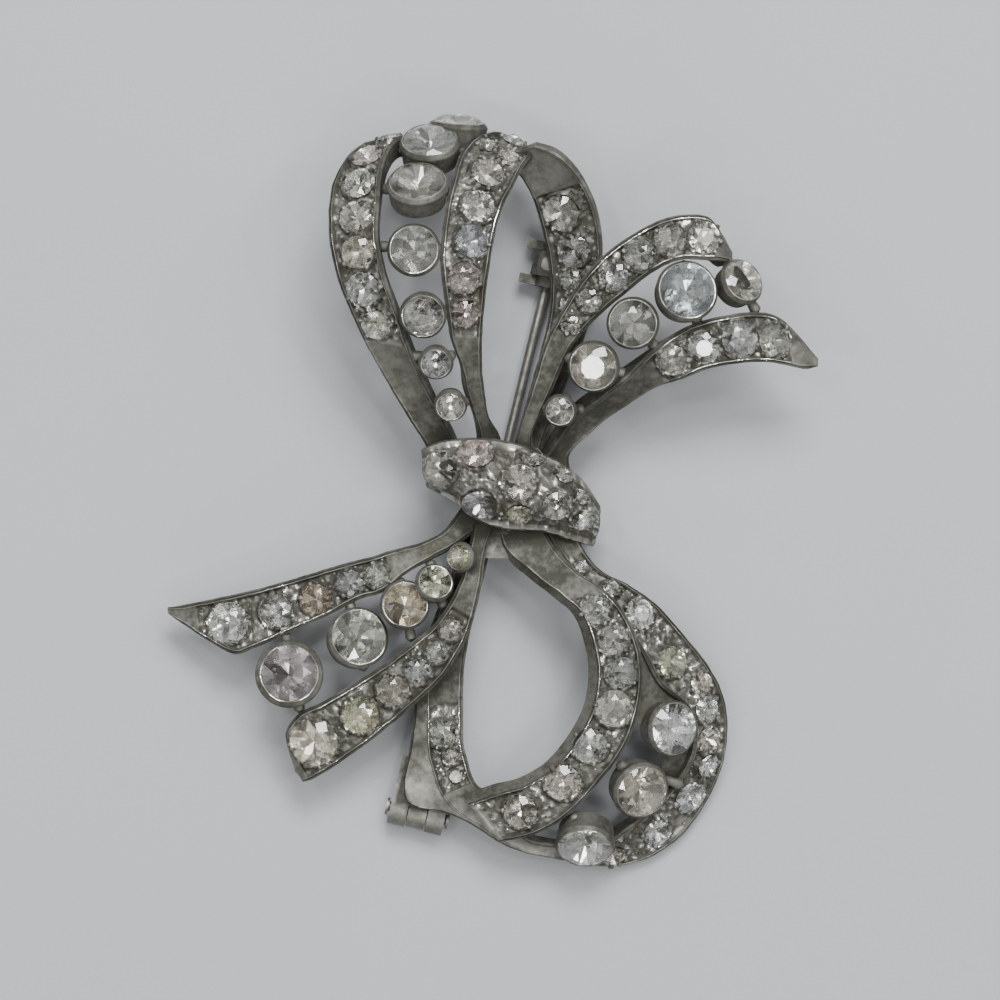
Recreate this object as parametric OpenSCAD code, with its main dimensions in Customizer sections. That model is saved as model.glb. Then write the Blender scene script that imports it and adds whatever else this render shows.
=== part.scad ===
/* [Ribbons] */
// Thickness of the cast front ribbons, rim to back
front_depth = 1.54; // [1.4:0.02:1.6]
// Thickness of the cast back bands, rim to back
back_depth = 1.23; // [1.15:0.01:1.3]
// Width of the rim wall along each side of a channel
rim_w = 0.36; // [0.3:0.02:0.38]
// Width of the channel along the lower back band's inner side
back_channel_w = 2.4; // [2.3:0.05:2.5]
// Depth of a stone channel below its rims
channel_depth = 0.94; // [0.88:0.01:0.96]
// Depth of the shallow groove on a plain stretch
groove_depth = 0.17; // [0.1:0.01:0.3]

/* [Stones] */
// Width of a stone's table over its own width
table_share = 0.56; // [0.5:0.02:0.62]
// Height of a stone's crown over its radius
crown_share = 0.3; // [0.24:0.02:0.36]
// Depth of a stone's back cone over its radius
cone_share = 0.6; // [0.5:0.02:0.62]
// How far a channel stone's girdle sits below the rims
girdle_drop = 0.04; // [0.02:0.01:0.05]
// Least gap between a channel stone's point and the channel's floor
floor_gap = 0.08; // [0.05:0.01:0.12]

/* [Stone cups] */
// Gap between a stone and its cup
cup_gap = 0.08; // [0.06:0.01:0.1]
// Floor of a cup under the stone's point
cup_floor = 0.57; // [0.4:0.01:0.7]
// How much narrower a cup is at its base
cup_taper = 0.18; // [0.15:0.01:0.25]
// Thickness of the bars that tie the cups to the ribbons
bar_r = 0.455; // [0.4:0.005:0.55]

/* [Knot] */
// Height of the knot's crown over its edges
knot_crown = 2.6; // [2:0.1:3]
// Height of the knot's underside
knot_base = 3.05; // [3:0.05:3.4]

/* [Pin] */
// Radius of the pin's wire
pin_r = 0.38; // [0.34:0.01:0.4]
// Height of the pin's axis over the resting plane
pin_z = 1.5; // [1.5:0.01:1.52]
// Length from the hinge's axis to the pin's point
pin_length = 49.5; // [48.8:0.1:50.2]
// Length of the pin's tapered point
point_length = 7; // [6.8:0.1:7.6]
// Length of the pin's thicker root
root_length = 6; // [5.8:0.1:7]
// Radius of the pin's root at the eye
root_r = 0.6; // [0.5:0.05:0.65]

/* [Hinge] */
// Radius of the hinge's ears and of the pin's eye
ear_r = 1.35; // [1.25:0.05:1.4]
// Radius of the rivet
rivet_r = 0.4; // [0.35:0.01:0.42]
// Width over both ears
hinge_w = 4.5; // [4.4:0.1:4.6]
// Width of the pin's eye
eye_w = 1.5; // [1.4:0.05:1.5]
// Running clearance of the hinge and of the catch
clearance = 0.08; // [0.06:0.01:0.09]

/* [Catch] */
// Outer radius of the catch's collar
collar_r = 1.5; // [1.45:0.01:1.5]
// Length of the collar along the pin
collar_length = 2; // [1.8:0.1:2.2]
// Outer radius of the turning barrel
barrel_r = 1.02; // [1:0.01:1.04]
// Length of the barrel along the pin
barrel_length = 3.6; // [3.4:0.1:3.8]
// Width of the slot that lets the pin in
slot_w = 0.95; // [0.9:0.01:1]
// Reach of the two thumb tabs from the barrel's axis
tab_reach = 2.3; // [2.1:0.1:2.4]

/* [Hidden] */
METAL = [0.62, 0.61, 0.58];
STONE = [0.9, 0.93, 0.94];
NOTCH = 0.057;
STEP = 0.5;
widest = 100;
least_open = 0.15;
CUP_SIDES = 14;
STONE_SIDES = 8;

// Each ribbon is a row for each section, from the knot outwards: the left edge's x, y and z, then the right
// edge's, both at the rim, seen along the way from the knot. All in millimetres.
upper_loop_left = [
    [-4.1, 1.4, 4.7, -1.9, 2.4, 5.0],
    [-5.4, 3.8, 6.2, -3.1, 4.4, 6.8],
    [-6.9, 6.2, 7.6, -4.3, 6.8, 8.2],
    [-8.9, 9.6, 9.2, -5.6, 9.2, 9.8],
    [-10.2, 12.0, 10.2, -6.5, 11.4, 11.0],
    [-11.3, 14.4, 11.2, -7.5, 14.3, 12.2],
    [-12.3, 17.0, 11.9, -8.4, 17.0, 12.9],
    [-12.9, 20.2, 12.1, -9.0, 20.2, 13.3],
    [-12.9, 23.2, 11.4, -8.9, 23.2, 12.8],
    [-12.4, 25.3, 10.2, -8.7, 25.6, 11.7],
    [-11.3, 27.2, 8.4, -8.1, 27.4, 9.9],
    [-9.9, 28.1, 6.6, -7.1, 28.4, 8.1],
    [-7.9, 28.3, 5.0, -5.4, 28.9, 6.2],
    [-5.3, 28.2, 3.8, -3.3, 29.0, 4.6]
];
upper_loop_right = [
    [-1.1, 1.8, 4.8, 1.1, 2.4, 4.7],
    [-1.0, 4.2, 6.4, 0.7, 4.4, 6.0],
    [-1.4, 6.1, 7.8, -0.2, 6.1, 7.4],
    [-2.0, 7.8, 8.9, -0.5, 8.0, 8.5],
    [-2.5, 10.0, 10.0, -0.7, 9.8, 9.6],
    [-3.2, 12.0, 11.2, -0.7, 11.8, 10.7],
    [-3.6, 14.6, 12.4, -0.5, 14.6, 11.7],
    [-4.0, 17.8, 13.2, -0.1, 17.8, 12.4],
    [-3.9, 20.2, 13.4, 0.3, 20.2, 12.5],
    [-3.6, 22.6, 12.9, 0.9, 22.4, 11.9],
    [-3.1, 24.7, 12.0, 1.8, 24.4, 10.8],
    [-2.5, 26.8, 10.4, 2.6, 26.0, 9.2],
    [-1.3, 28.4, 8.3, 3.4, 27.1, 7.4],
    [0.1, 29.0, 6.0, 4.0, 27.5, 5.6],
    [1.3, 28.8, 4.2, 4.3, 27.2, 4.2]
];
upper_back = [
    [1.1, 1.8, 4.4, 3.5, 2.2, 4.6],
    [2.1, 5.0, 4.1, 4.5, 5.0, 4.6],
    [3.1, 8.6, 4.1, 5.9, 8.6, 4.8],
    [4.0, 11.8, 4.1, 7.1, 11.8, 5.1],
    [4.6, 14.6, 4.2, 8.1, 15.0, 5.5],
    [4.7, 17.0, 4.4, 8.7, 17.6, 6.0],
    [4.4, 19.4, 4.7, 8.8, 20.2, 6.5],
    [3.9, 21.4, 5.1, 8.4, 22.4, 7.1],
    [3.4, 23.1, 5.5, 7.6, 24.2, 7.6],
    [2.8, 24.4, 5.9, 6.5, 25.8, 8.0],
    [2.0, 25.5, 6.3, 5.1, 27.0, 8.2],
    [0.7, 26.6, 6.5, 3.5, 27.6, 7.9]
];
upper_tail_top = [
    [1.7, 2.4, 4.8, 3.7, 2.6, 4.9],
    [2.0, 4.4, 5.8, 3.3, 4.7, 6.0],
    [3.1, 8.2, 7.2, 4.8, 8.0, 7.5],
    [4.1, 11.4, 8.3, 6.1, 11.0, 8.6],
    [5.1, 13.6, 9.0, 7.3, 12.7, 9.3],
    [6.8, 16.4, 9.9, 9.0, 14.4, 10.2],
    [8.9, 18.8, 10.7, 11.1, 16.1, 10.9],
    [11.6, 20.7, 11.3, 13.1, 17.6, 11.5],
    [14.1, 21.8, 11.5, 15.2, 18.4, 11.8],
    [16.7, 22.0, 11.0, 17.1, 18.4, 11.4],
    [18.0, 21.2, 10.4, 18.5, 18.4, 10.8],
    [19.2, 19.2, 9.4, 19.3, 18.1, 9.6]
];
upper_tail_low = [
    [3.5, 1.8, 4.9, 6.3, 1.8, 4.6],
    [4.9, 3.4, 5.8, 6.5, 3.2, 4.9],
    [6.7, 5.8, 7.2, 8.9, 5.4, 5.6],
    [8.7, 7.4, 8.2, 11.3, 7.1, 6.6],
    [10.8, 9.2, 9.1, 13.3, 8.3, 7.8],
    [13.1, 11.5, 9.9, 15.1, 8.9, 8.9],
    [15.7, 13.2, 10.3, 17.1, 9.7, 9.5],
    [18.5, 14.0, 10.3, 19.7, 10.2, 9.6],
    [21.1, 14.3, 9.9, 22.1, 10.3, 9.4],
    [23.1, 13.8, 9.3, 23.9, 10.0, 9.0],
    [24.9, 12.1, 8.6, 25.2, 9.8, 8.5],
    [26.1, 10.7, 8.0, 26.1, 10.0, 8.0]
];
lower_tail_top = [
    [-0.5, -2.6, 5.6, -2.3, -1.0, 5.4],
    [-2.8, -4.2, 6.2, -3.9, -3.1, 6.0],
    [-4.9, -5.4, 6.4, -5.7, -4.0, 6.2],
    [-6.9, -6.6, 6.5, -7.5, -4.5, 6.3],
    [-8.7, -8.0, 6.5, -9.5, -5.1, 6.3],
    [-10.8, -8.7, 6.4, -11.7, -5.7, 6.2],
    [-13.5, -10.1, 6.2, -14.1, -6.4, 6.0],
    [-16.1, -11.2, 5.9, -16.7, -7.2, 5.7],
    [-18.7, -12.4, 5.5, -19.3, -7.9, 5.3],
    [-20.7, -13.0, 5.1, -21.5, -8.4, 4.9],
    [-23.1, -11.8, 4.6, -23.5, -8.8, 4.4],
    [-24.8, -10.7, 4.1, -24.9, -9.1, 4.0],
    [-26.1, -9.8, 3.7, -26.1, -9.3, 3.7]
];
lower_tail_low = [
    [0.5, -2.2, 5.8, -1.5, -2.6, 5.8],
    [-0.4, -4.6, 6.4, -1.9, -4.8, 6.4],
    [-0.8, -7.4, 6.6, -2.5, -7.0, 6.6],
    [-1.4, -10.0, 6.6, -3.4, -8.9, 6.7],
    [-2.3, -12.4, 6.5, -4.8, -10.8, 6.7],
    [-4.1, -15.1, 6.3, -6.8, -12.4, 6.6],
    [-6.7, -17.5, 6.0, -9.2, -14.2, 6.3],
    [-9.3, -19.7, 5.6, -11.8, -15.8, 5.9],
    [-11.5, -21.3, 5.2, -13.9, -17.0, 5.5],
    [-13.3, -22.5, 4.8, -15.6, -17.9, 5.1],
    [-14.5, -23.2, 4.4, -16.6, -19.6, 4.7],
    [-15.2, -23.4, 4.1, -15.9, -22.4, 4.1]
];
lower_loop_inner = [
    [3.9, -2.2, 6.0, 0.5, -3.4, 5.8],
    [4.9, -4.2, 7.0, 1.3, -5.4, 6.4],
    [6.9, -6.4, 7.6, 3.1, -7.0, 7.0],
    [8.7, -7.6, 8.0, 4.9, -8.4, 7.5],
    [10.5, -9.4, 8.3, 6.5, -9.9, 7.9],
    [11.7, -12.0, 8.4, 7.4, -12.2, 8.2],
    [12.1, -14.8, 8.3, 7.7, -14.6, 8.2],
    [11.7, -17.8, 8.0, 7.3, -17.2, 8.0],
    [10.6, -20.6, 7.5, 6.1, -19.6, 7.6],
    [8.7, -23.2, 6.8, 4.3, -21.8, 7.0],
    [6.3, -25.8, 6.1, 2.1, -23.1, 6.4],
    [3.6, -27.5, 5.5, 0.1, -23.6, 5.9],
    [0.7, -28.2, 4.8, -2.4, -24.5, 5.2]
];
lower_loop_outer = [
    [6.4, -2.7, 5.3, 4.4, -3.1, 6.2],
    [8.5, -5.9, 6.4, 6.7, -6.6, 7.4],
    [11.1, -7.4, 6.3, 8.9, -8.6, 7.7],
    [13.45, -9.1, 5.8, 10.9, -11.0, 7.4],
    [15.65, -11.6, 5.0, 12.3, -13.2, 6.9],
    [17.5, -13.9, 4.1, 13.6, -15.5, 6.2],
    [18.8, -16.4, 3.3, 15.6, -17.1, 5.5],
    [19.2, -19.2, 2.6, 16.4, -19.2, 5.0],
    [18.8, -22.1, 2.0, 16.0, -21.6, 4.6],
    [17.6, -25.0, 1.35, 14.6, -23.8, 4.1],
    [15.6, -27.8, 1.1, 12.7, -25.8, 3.7],
    [13.1, -29.6, 1.1, 10.5, -27.5, 3.3],
    [10.3, -30.4, 1.2, 8.5, -29.0, 3.0],
    [7.5, -30.3, 1.7, 6.5, -28.9, 2.9]
];
lower_back = [
    [0.5, -2.6, 5.0, -1.7, -2.2, 4.8],
    [-0.4, -5.8, 4.8, -2.9, -5.4, 4.4],
    [-1.2, -9.1, 4.6, -4.1, -8.6, 4.1],
    [-1.9, -12.0, 4.5, -5.3, -11.8, 4.0],
    [-2.3, -15.0, 4.5, -6.1, -15.0, 3.9],
    [-2.3, -17.8, 4.5, -6.3, -18.2, 3.9],
    [-2.3, -20.1, 4.6, -6.7, -21.0, 4.1],
    [-1.9, -21.7, 4.7, -7.2, -23.4, 4.25],
    [-1.5, -23.0, 4.8, -6.7, -25.2, 4.25],
    [-0.9, -23.9, 4.9, -4.1, -25.8, 4.15],
    [0.0, -24.6, 5.0, -1.8, -26.8, 3.8],
    [1.0, -25.9, 4.9, 0.5, -28.3, 3.6],
    [2.7, -27.9, 4.2, 2.7, -29.2, 3.4],
    [4.7, -28.4, 3.7, 5.1, -29.7, 3.0],
    [6.8, -28.7, 3.2, 7.8, -30.1, 2.6]
];
knot = [
    [-5.7, 3.4, 8.0, -5.3, 0.4, 7.8],
    [-3.7, 4.1, 8.3, -3.0, -0.8, 7.9],
    [-0.9, 4.3, 8.4, -1.1, -2.3, 7.9],
    [1.9, 3.9, 8.3, 1.1, -3.0, 7.8],
    [4.7, 2.8, 7.8, 3.9, -3.2, 7.3],
    [7.1, 1.2, 6.9, 6.1, -3.8, 6.5],
    [8.9, -1.2, 6.0, 8.3, -4.5, 5.7]
];

// Small stones: place along the ribbon in rows, place across it from -1 to 1, radius
upper_loop_left_set = [[4.57, -0.1, 1.26], [5.64, -0.07, 1.4], [6.6, 0.1, 1.35], [7.5, 0.12, 1.3],
    [8.53, 0.14, 1.35], [9.68, 0.06, 1.3], [11.25, -0.05, 1.05]];
upper_loop_right_set = [[5.82, 0, 1.08], [6.7, -0.03, 1.3], [7.81, 0.16, 1.35], [9.06, 0.11, 1.35],
    [10.42, 0.04, 1.35], [11.33, 0.42, 0.95], [11.75, -0.45, 0.85], [12.75, 0, 1]];
upper_back_set = [[4.11, 0, 0.97], [4.93, -0.15, 0.87], [5.84, -0.05, 1.35], [7.31, -0.2, 1.5]];
upper_tail_top_set = [[4.09, 0, 0.77], [4.93, 0.03, 1], [5.85, 0.05, 1.2], [6.75, 0, 1.28],
    [7.78, 0.01, 1.25], [8.99, 0, 1.35]];
upper_tail_low_set = [[5.17, -0.02, 1.26], [6.18, 0.07, 1.29], [7.24, 0.01, 1.46], [8.5, 0.05, 1.36]];
lower_tail_top_set = [[4.06, -0.06, 0.98], [5.05, -0.03, 1.08], [6.13, -0.12, 1.25], [7.34, 0, 1.35],
    [9.01, 0.09, 1.7]];
lower_tail_low_set = [[3.75, 0.04, 0.9], [4.54, -0.07, 0.9], [5.24, -0.1, 1.09], [6.01, -0.06, 1.33],
    [7.03, -0.08, 1.5], [8.91, 0, 2]];
lower_loop_inner_set = [[3.87, 0, 1.2], [4.89, -0.11, 1.23], [5.88, -0.21, 1.27], [6.91, -0.11, 1.53],
    [8.11, 0.14, 1.45], [9.37, -0.02, 1.5], [10.9, -0.12, 1.38]];
lower_loop_outer_set = [[0.88, 0.13, 0.5], [1.84, -0.02, 0.72], [2.86, 0, 1.29], [4.49, 0.11, 1.3],
    [5.41, -0.35, 0.95], [6.32, 0.08, 1.15], [7.29, 0.12, 1.17], [8.09, -0.16, 0.97], [9.09, -0.13, 1.42],
    [10.36, -0.08, 1.25], [11.8, 0, 0.97]];
lower_back_set = [[5.61, -0.27, 1.11], [6.54, -0.56, 0.67]];
knot_set = [[0.79, -0.13, 1.45], [1.9, -0.66, 1.45], [3.43, -0.83, 1.1], [2.07, 0.56, 1.5],
    [3.13, -0.18, 1.45], [4.32, -0.71, 0.85], [4.15, 0.17, 1.2], [5.08, 0.22, 0.95], [3.27, 0.59, 1.05],
    [4.87, -0.4, 0.7]];

// Stone cups: name, x, y and z of the rim's middle, lean from upright, way it leans, stone radius, cup radius
cups = [
    ["upper_loop_stone_1", -2.65, 29.55, 6.7, 82, 86, 2.14, 2.4],
    ["upper_loop_stone_2", -4.9, 27.95, 9.7, 51, 92, 2.19, 2.45],
    ["upper_loop_stone_3", -5.85, 24.5, 13.1, 46, 92, 2.2, 2.45],
    ["upper_loop_stone_4", -6.1, 19.1, 13.7, 6, 90, 1.88, 2.15],
    ["upper_loop_stone_5", -5.4, 13.9, 12.9, 14, -90, 1.64, 1.9],
    ["upper_loop_stone_6", -4.4, 10.15, 11.4, 20, -90, 1.17, 1.42],
    ["upper_loop_stone_7", -3.25, 6.8, 9.6, 22, -90, 1.12, 1.36],
    ["upper_tail_stone_1", 5.45, 6.45, 8.2, 14, -130, 1.1, 1.35],
    ["upper_tail_stone_2", 8.1, 9.95, 10.2, 10, -130, 1.85, 2.1],
    ["upper_tail_stone_3", 11.2, 13.35, 11.3, 6, -130, 1.87, 2.12],
    ["upper_tail_stone_4", 15.5, 15.95, 12, 14, 45, 2.24, 2.5],
    ["upper_tail_stone_5", 20, 16.8, 10.4, 36, 35, 1.7, 1.95],
    ["lower_tail_stone_1", -16.2, -14.55, 6.4, 10, 80, 2.3, 2.75],
    ["lower_tail_stone_2", -10.6, -11.6, 7.2, 18, 40, 2.2, 2.5],
    ["lower_tail_stone_3", -6.9, -9, 7.5, 12, 50, 1.78, 2.02],
    ["lower_tail_stone_4", -4.5, -7.2, 7.6, 22, 50, 1.34, 1.6],
    ["lower_tail_stone_5", -2.6, -5.2, 7.7, 30, 170, 1.0, 1.25],
    ["lower_loop_stone_1", 14.6, -18.95, 7, 30, -4, 2.06, 2.3],
    ["lower_loop_stone_2", 12.05, -24, 6.5, 26, -40, 2.1, 2.4],
    ["lower_loop_stone_3", 7.5, -28.6, 5, 46, -95, 2.2, 2.45]
];

// Bars that tie the cups to the ribbons: x, y and z of each end
bars = [
    [-7.8, 27.3, 7.9, -1.8, 27.2, 8.2],
    [-8.8, 24.0, 11.4, -3.2, 23.8, 11.6],
    [-9.0, 19.4, 12.2, -3.9, 19.4, 12.2],
    [-7.6, 14.0, 11.3, -3.8, 14.0, 11.6],
    [-6.6, 10.8, 10.0, -2.8, 10.8, 10.2],
    [-4.6, 7.2, 8.2, -1.7, 7.2, 8.2],
    [4.0, 6.8, 6.6, 7.6, 6.6, 7.2],
    [5.8, 10.8, 8.3, 10.8, 9.4, 8.4],
    [9.9, 15.0, 9.6, 13.2, 11.4, 9.3],
    [15.2, 18.4, 10.8, 16.4, 13.2, 9.6],
    [18.6, 18.6, 9.8, 21.2, 14.2, 9.2],
    [-16.6, -11.2, 5.2, -15.4, -17.8, 4.6],
    [-11.4, -8.7, 5.7, -10.2, -14.4, 5.7],
    [-7.4, -6.8, 5.8, -6.4, -12.0, 5.9],
    [-5.0, -5.4, 5.8, -3.8, -9.4, 5.9],
    [-3.2, -4.2, 5.6, -1.8, -5.8, 5.8],
    [10.0, -21.8, 6.6, 15.4, -23.6, 4.2],
    [6.4, -25.9, 5.4, 9.0, -28.8, 3.0]
];

// The plate that joins the lower loop's two front ribbons behind its cups: its two edges at each section
loop_web = [
    [10.3, -9.9, 6.7, 9.6, -9.2, 7.3],
    [12.2, -12.6, 6.2, 11.3, -12.6, 7.4],
    [14.0, -15.6, 5.3, 11.6, -15.4, 7.2],
    [16.6, -18.4, 4.3, 11.4, -17.9, 6.9],
    [16.3, -21.4, 3.7, 13.6, -20.4, 5.4],
    [15.1, -23.7, 3.2, 13.4, -22.9, 4.9],
    [13.0, -26.1, 2.8, 12.2, -25.0, 4.4]
];
// The small plate that fills the fork under the knot: its two edges at each section
throat = [
    [1.2, -2.3, 5.5, -0.7, -2.3, 5.5],
    [1.4, -4.0, 5.9, -0.6, -4.0, 5.9],
    [1.6, -5.3, 6.1, -0.8, -5.3, 6.1]
];
// Thickness of both plates
web_t = 0.8;

// The hinge's axis, the pin's turn in plan and the catch's place along the pin
hinge_at = [-6.0, -26.0];
pin_turn = -13.7;
catch_along = 45.6;
// Height of the hinge's plate, and the seam between a soldered piece and the cast pad over it
plate_top = pin_z + ear_r;
pad_gap = 0.08;
ear_w = (hinge_w - eye_w) / 2 - clearance;
bore_r = pin_r + 0.14;
tab_w = (barrel_length - collar_length) / 2 - clearance;
tab_h = 0.9;
slot_turn = 35;

function unit(v) = v / norm(v);
function bound(i, n) = max(0, min(n - 1, i));
// A smooth curve through the rows, at any place s along them
function row(tab, s) =
    let (n = len(tab), i = min(floor(s), n - 2), t = s - i,
         p = [for (k = [-1:2]) tab[bound(i + k, n)]])
    0.5 * (2 * p[1] + (p[2] - p[0]) * t + (2 * p[0] - 5 * p[1] + 4 * p[2] - p[3]) * t * t
        + (3 * p[1] - p[0] - 3 * p[2] + p[3]) * t * t * t);
function left_edge(r) = [r[0], r[1], r[2]];
function right_edge(r) = [r[3], r[4], r[5]];
function middle(tab, s) = let (r = row(tab, s)) (left_edge(r) + right_edge(r)) / 2;
function across(tab, s) = let (r = row(tab, s)) (right_edge(r) - left_edge(r)) / 2;
function ahead(tab, s) =
    let (n = len(tab) - 1)
    unit(middle(tab, min(n, s + 0.1)) - middle(tab, max(0, s - 0.1)));
function face_up(tab, s) = unit(cross(across(tab, s), ahead(tab, s)));
// A point on a ribbon: s along it, v across it, h above its face, with a crown in the middle
function on_ribbon(tab, s, v, h, crown = 0) =
    middle(tab, s) + across(tab, s) * v + face_up(tab, s) * (h + crown * (1 - v * v));
function lean_of(tab, s, v, crown) =
    unit(face_up(tab, s) + unit(across(tab, s)) * 2 * crown * v / norm(across(tab, s)));
// The places along a ribbon that get a section, with a step in depth at both ends of its channel
function places(tab, from, to) =
    [for (s = [0:1:from - 0.2]) s, from - NOTCH, from + NOTCH,
     for (s = [from + STEP:STEP:to - 0.2]) s, to - NOTCH, to + NOTCH,
     for (s = [ceil(to + 0.2):1:len(tab) - 1.01]) s, len(tab) - 1];
function channel_section(tab, s, deep, depth, channel_w) =
    let (half = norm(across(tab, s)), left = min(rim_w / half - 1, -least_open),
         right = min(-left, left + channel_w / half))
    [for (q = [[-1, 0], [left, 0], [left, -deep], [right, -deep], [right, 0], [1, 0],
               [0.86, -depth], [-0.86, -depth]])
        on_ribbon(tab, s, q[0], q[1])];
channel_cap = [[0, 1, 2], [0, 2, 7], [2, 3, 7], [3, 6, 7], [3, 4, 5], [3, 5, 6]];
function skin(rings, sides, cap) =
    let (last = (rings - 1) * sides)
    concat(
        cap,
        [for (t = cap) [last + t[2], last + t[1], last + t[0]]],
        [for (k = [0:rings - 2], j = [0:sides - 1], half = [0, 1])
            let (a = k * sides + j, b = k * sides + (j + 1) % sides, c = a + sides, d = b + sides)
            half == 0 ? [a, c, d] : [a, d, b]]
    );

// A channel ribbon, with its channel between rows from and to and as wide as the rims leave it, or narrower
module ribbon(tab, from, to, depth, channel_w = widest) {
    stops = places(tab, from, to);
    sections = [for (s = stops)
        each channel_section(tab, s, s > from && s < to ? channel_depth : groove_depth, depth, channel_w)];
    polyhedron(sections, skin(len(stops), 8, channel_cap));
}

// A plate between two edges, with its top at the table's height
module plate(tab, thick) {
    sections = [for (r = tab)
        each [left_edge(r), right_edge(r), right_edge(r) - [0, 0, thick], left_edge(r) - [0, 0, thick]]];
    polyhedron(sections, skin(len(tab), 4, [[0, 1, 2], [0, 2, 3]]));
}

// The knot: an arched band over the ribbons' ends, with a flat underside
knot_ways = [-1, -0.8, -0.5, -0.17, 0.17, 0.5, 0.8, 1];
function knot_section(s) =
    let (n = len(knot_ways), end_share = min(1, 0.45 + 0.5 * min(s, len(knot) - 1 - s)))
    concat(
        [for (v = knot_ways) on_ribbon(knot, s, v, 0, knot_crown * end_share)],
        [for (v = [0.8, -0.8]) let (p = on_ribbon(knot, s, v, 0)) [p[0], p[1], knot_base]]
    );
knot_cap = [for (j = [1:8]) [0, j, j + 1]];
module knot_body() {
    stops = [for (s = [0:STEP:len(knot) - 1]) s];
    difference() {
        polyhedron([for (s = stops) each knot_section(s)], skin(len(stops), 10, knot_cap));
        for (k = knot_set)
            knot_place(k) translate([0, 0, -cone_share * k[2] - 0.12])
                cylinder(h = cone_share * k[2] + 2, r = k[2] + 0.08, $fn = 12);
    }
}
function knot_share(s) = min(1, 0.45 + 0.5 * min(s, len(knot) - 1 - s)) * knot_crown;
module knot_place(k) {
    along(on_ribbon(knot, k[0], k[1], -0.1, knot_share(k[0])), lean_of(knot, k[0], k[1], knot_share(k[0])))
        children();
}

// Moves its children to a point and stands them along a direction
module along(p, dir) {
    lean = acos(dir[2]);
    way = atan2(dir[1], dir[0]);
    translate(p) rotate([0, 0, way]) rotate([0, lean, 0]) rotate([0, 0, -way]) children();
}

// A cut stone: an eight-sided table, eight crown facets and eight back facets, girdle at z = 0
module cut_stone(r, cone) {
    ring = [for (i = [0:STONE_SIDES - 1]) [cos(45 * i + 22.5), sin(45 * i + 22.5), 0]];
    points = concat(
        [for (p = ring) p * r * table_share + [0, 0, crown_share * r]],
        [for (p = ring) p * r],
        [[0, 0, -cone]]
    );
    faces = concat(
        [for (i = [1:STONE_SIDES - 2]) [0, i + 1, i]],
        [for (i = [0:STONE_SIDES - 1], half = [0, 1])
            let (j = (i + 1) % STONE_SIDES)
            half == 0 ? [i, j, STONE_SIDES + j] : [i, STONE_SIDES + j, STONE_SIDES + i]],
        [for (i = [0:STONE_SIDES - 1])
            [2 * STONE_SIDES, STONE_SIDES + i, STONE_SIDES + (i + 1) % STONE_SIDES]]
    );
    polyhedron(points, faces);
}

// The stones of one channel
module stone_row(tab, set) {
    color(STONE)
        for (k = set)
            along(on_ribbon(tab, k[0], k[1], -girdle_drop), face_up(tab, k[0]))
                cut_stone(k[2], min(cone_share * k[2], channel_depth - girdle_drop - floor_gap));
}
module knot_stones() {
    color(STONE)
        for (k = knot_set) knot_place(k) cut_stone(k[2], cone_share * k[2]);
}

function cup_way(c) = [sin(c[4]) * cos(c[5]), sin(c[4]) * sin(c[5]), cos(c[4])];
function cup_bore(c) = cone_share * c[6] + 0.12;
module at_cup(c) {
    along([c[1], c[2], c[3]], cup_way(c)) children();
}
module cup_outside(c) {
    depth = cup_bore(c) + cup_floor;
    at_cup(c) translate([0, 0, -depth])
        cylinder(h = depth + 0.02, r1 = c[7] - cup_taper, r2 = c[7], $fn = CUP_SIDES);
}
module cup_inside(c) {
    at_cup(c) translate([0, 0, -cup_bore(c)])
        cylinder(h = cup_bore(c) + 1.6, r = c[6] + cup_gap, $fn = CUP_SIDES);
}
module cup_stone(c) {
    color(STONE) at_cup(c) cut_stone(c[6], cone_share * c[6]);
}

module bar(b) {
    hull() {
        translate([b[0], b[1], b[2]]) sphere(bar_r, $fn = 8);
        translate([b[3], b[4], b[5]]) sphere(bar_r, $fn = 8);
    }
}

// The pin's own frame: origin on the hinge's axis, +Y along the pin
module pin_frame() {
    translate([hinge_at[0], hinge_at[1], pin_z]) rotate([0, 0, pin_turn]) children();
}
module pad(y0, y1, half_w, under) {
    pin_frame() translate([0, 0, under - pin_z + pad_gap]) hull() {
        translate([-half_w, y0, 0]) cube([2 * half_w, y1 - y0, 0.4]);
        translate([-0.7 * half_w, y0 + 0.5, 0.7]) cube([1.4 * half_w, y1 - y0 - 1, 0.3]);
    }
}

module bow_frame() {
    color(METAL)
        difference() {
            union() {
                ribbon(upper_loop_left, 4.05, 12.2, front_depth);
                ribbon(upper_loop_right, 5.2, 13.4, front_depth);
                ribbon(upper_back, 3.4, 8.25, back_depth);
                ribbon(upper_tail_top, 3.75, 9.6, front_depth);
                ribbon(upper_tail_low, 4.55, 9.1, front_depth);
                ribbon(lower_tail_top, 3.6, 10.2, front_depth);
                ribbon(lower_tail_low, 3.1, 10.2, front_depth);
                ribbon(lower_loop_inner, 3.3, 11.8, front_depth);
                ribbon(lower_loop_outer, 0.65, 12.3, front_depth);
                ribbon(lower_back, 4.7, 8.25, back_depth, back_channel_w);
                knot_body();
                for (c = cups) cup_outside(c);
                for (b = bars) bar(b);
                plate(loop_web, web_t);
                plate(throat, web_t);
                pad(0.6, 4.4, 1.9, plate_top);
                pad(catch_along - collar_length / 2, catch_along + collar_length / 2, 1.1, pin_z + collar_r);
            }
            for (c = cups) cup_inside(c);
        }
}

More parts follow.
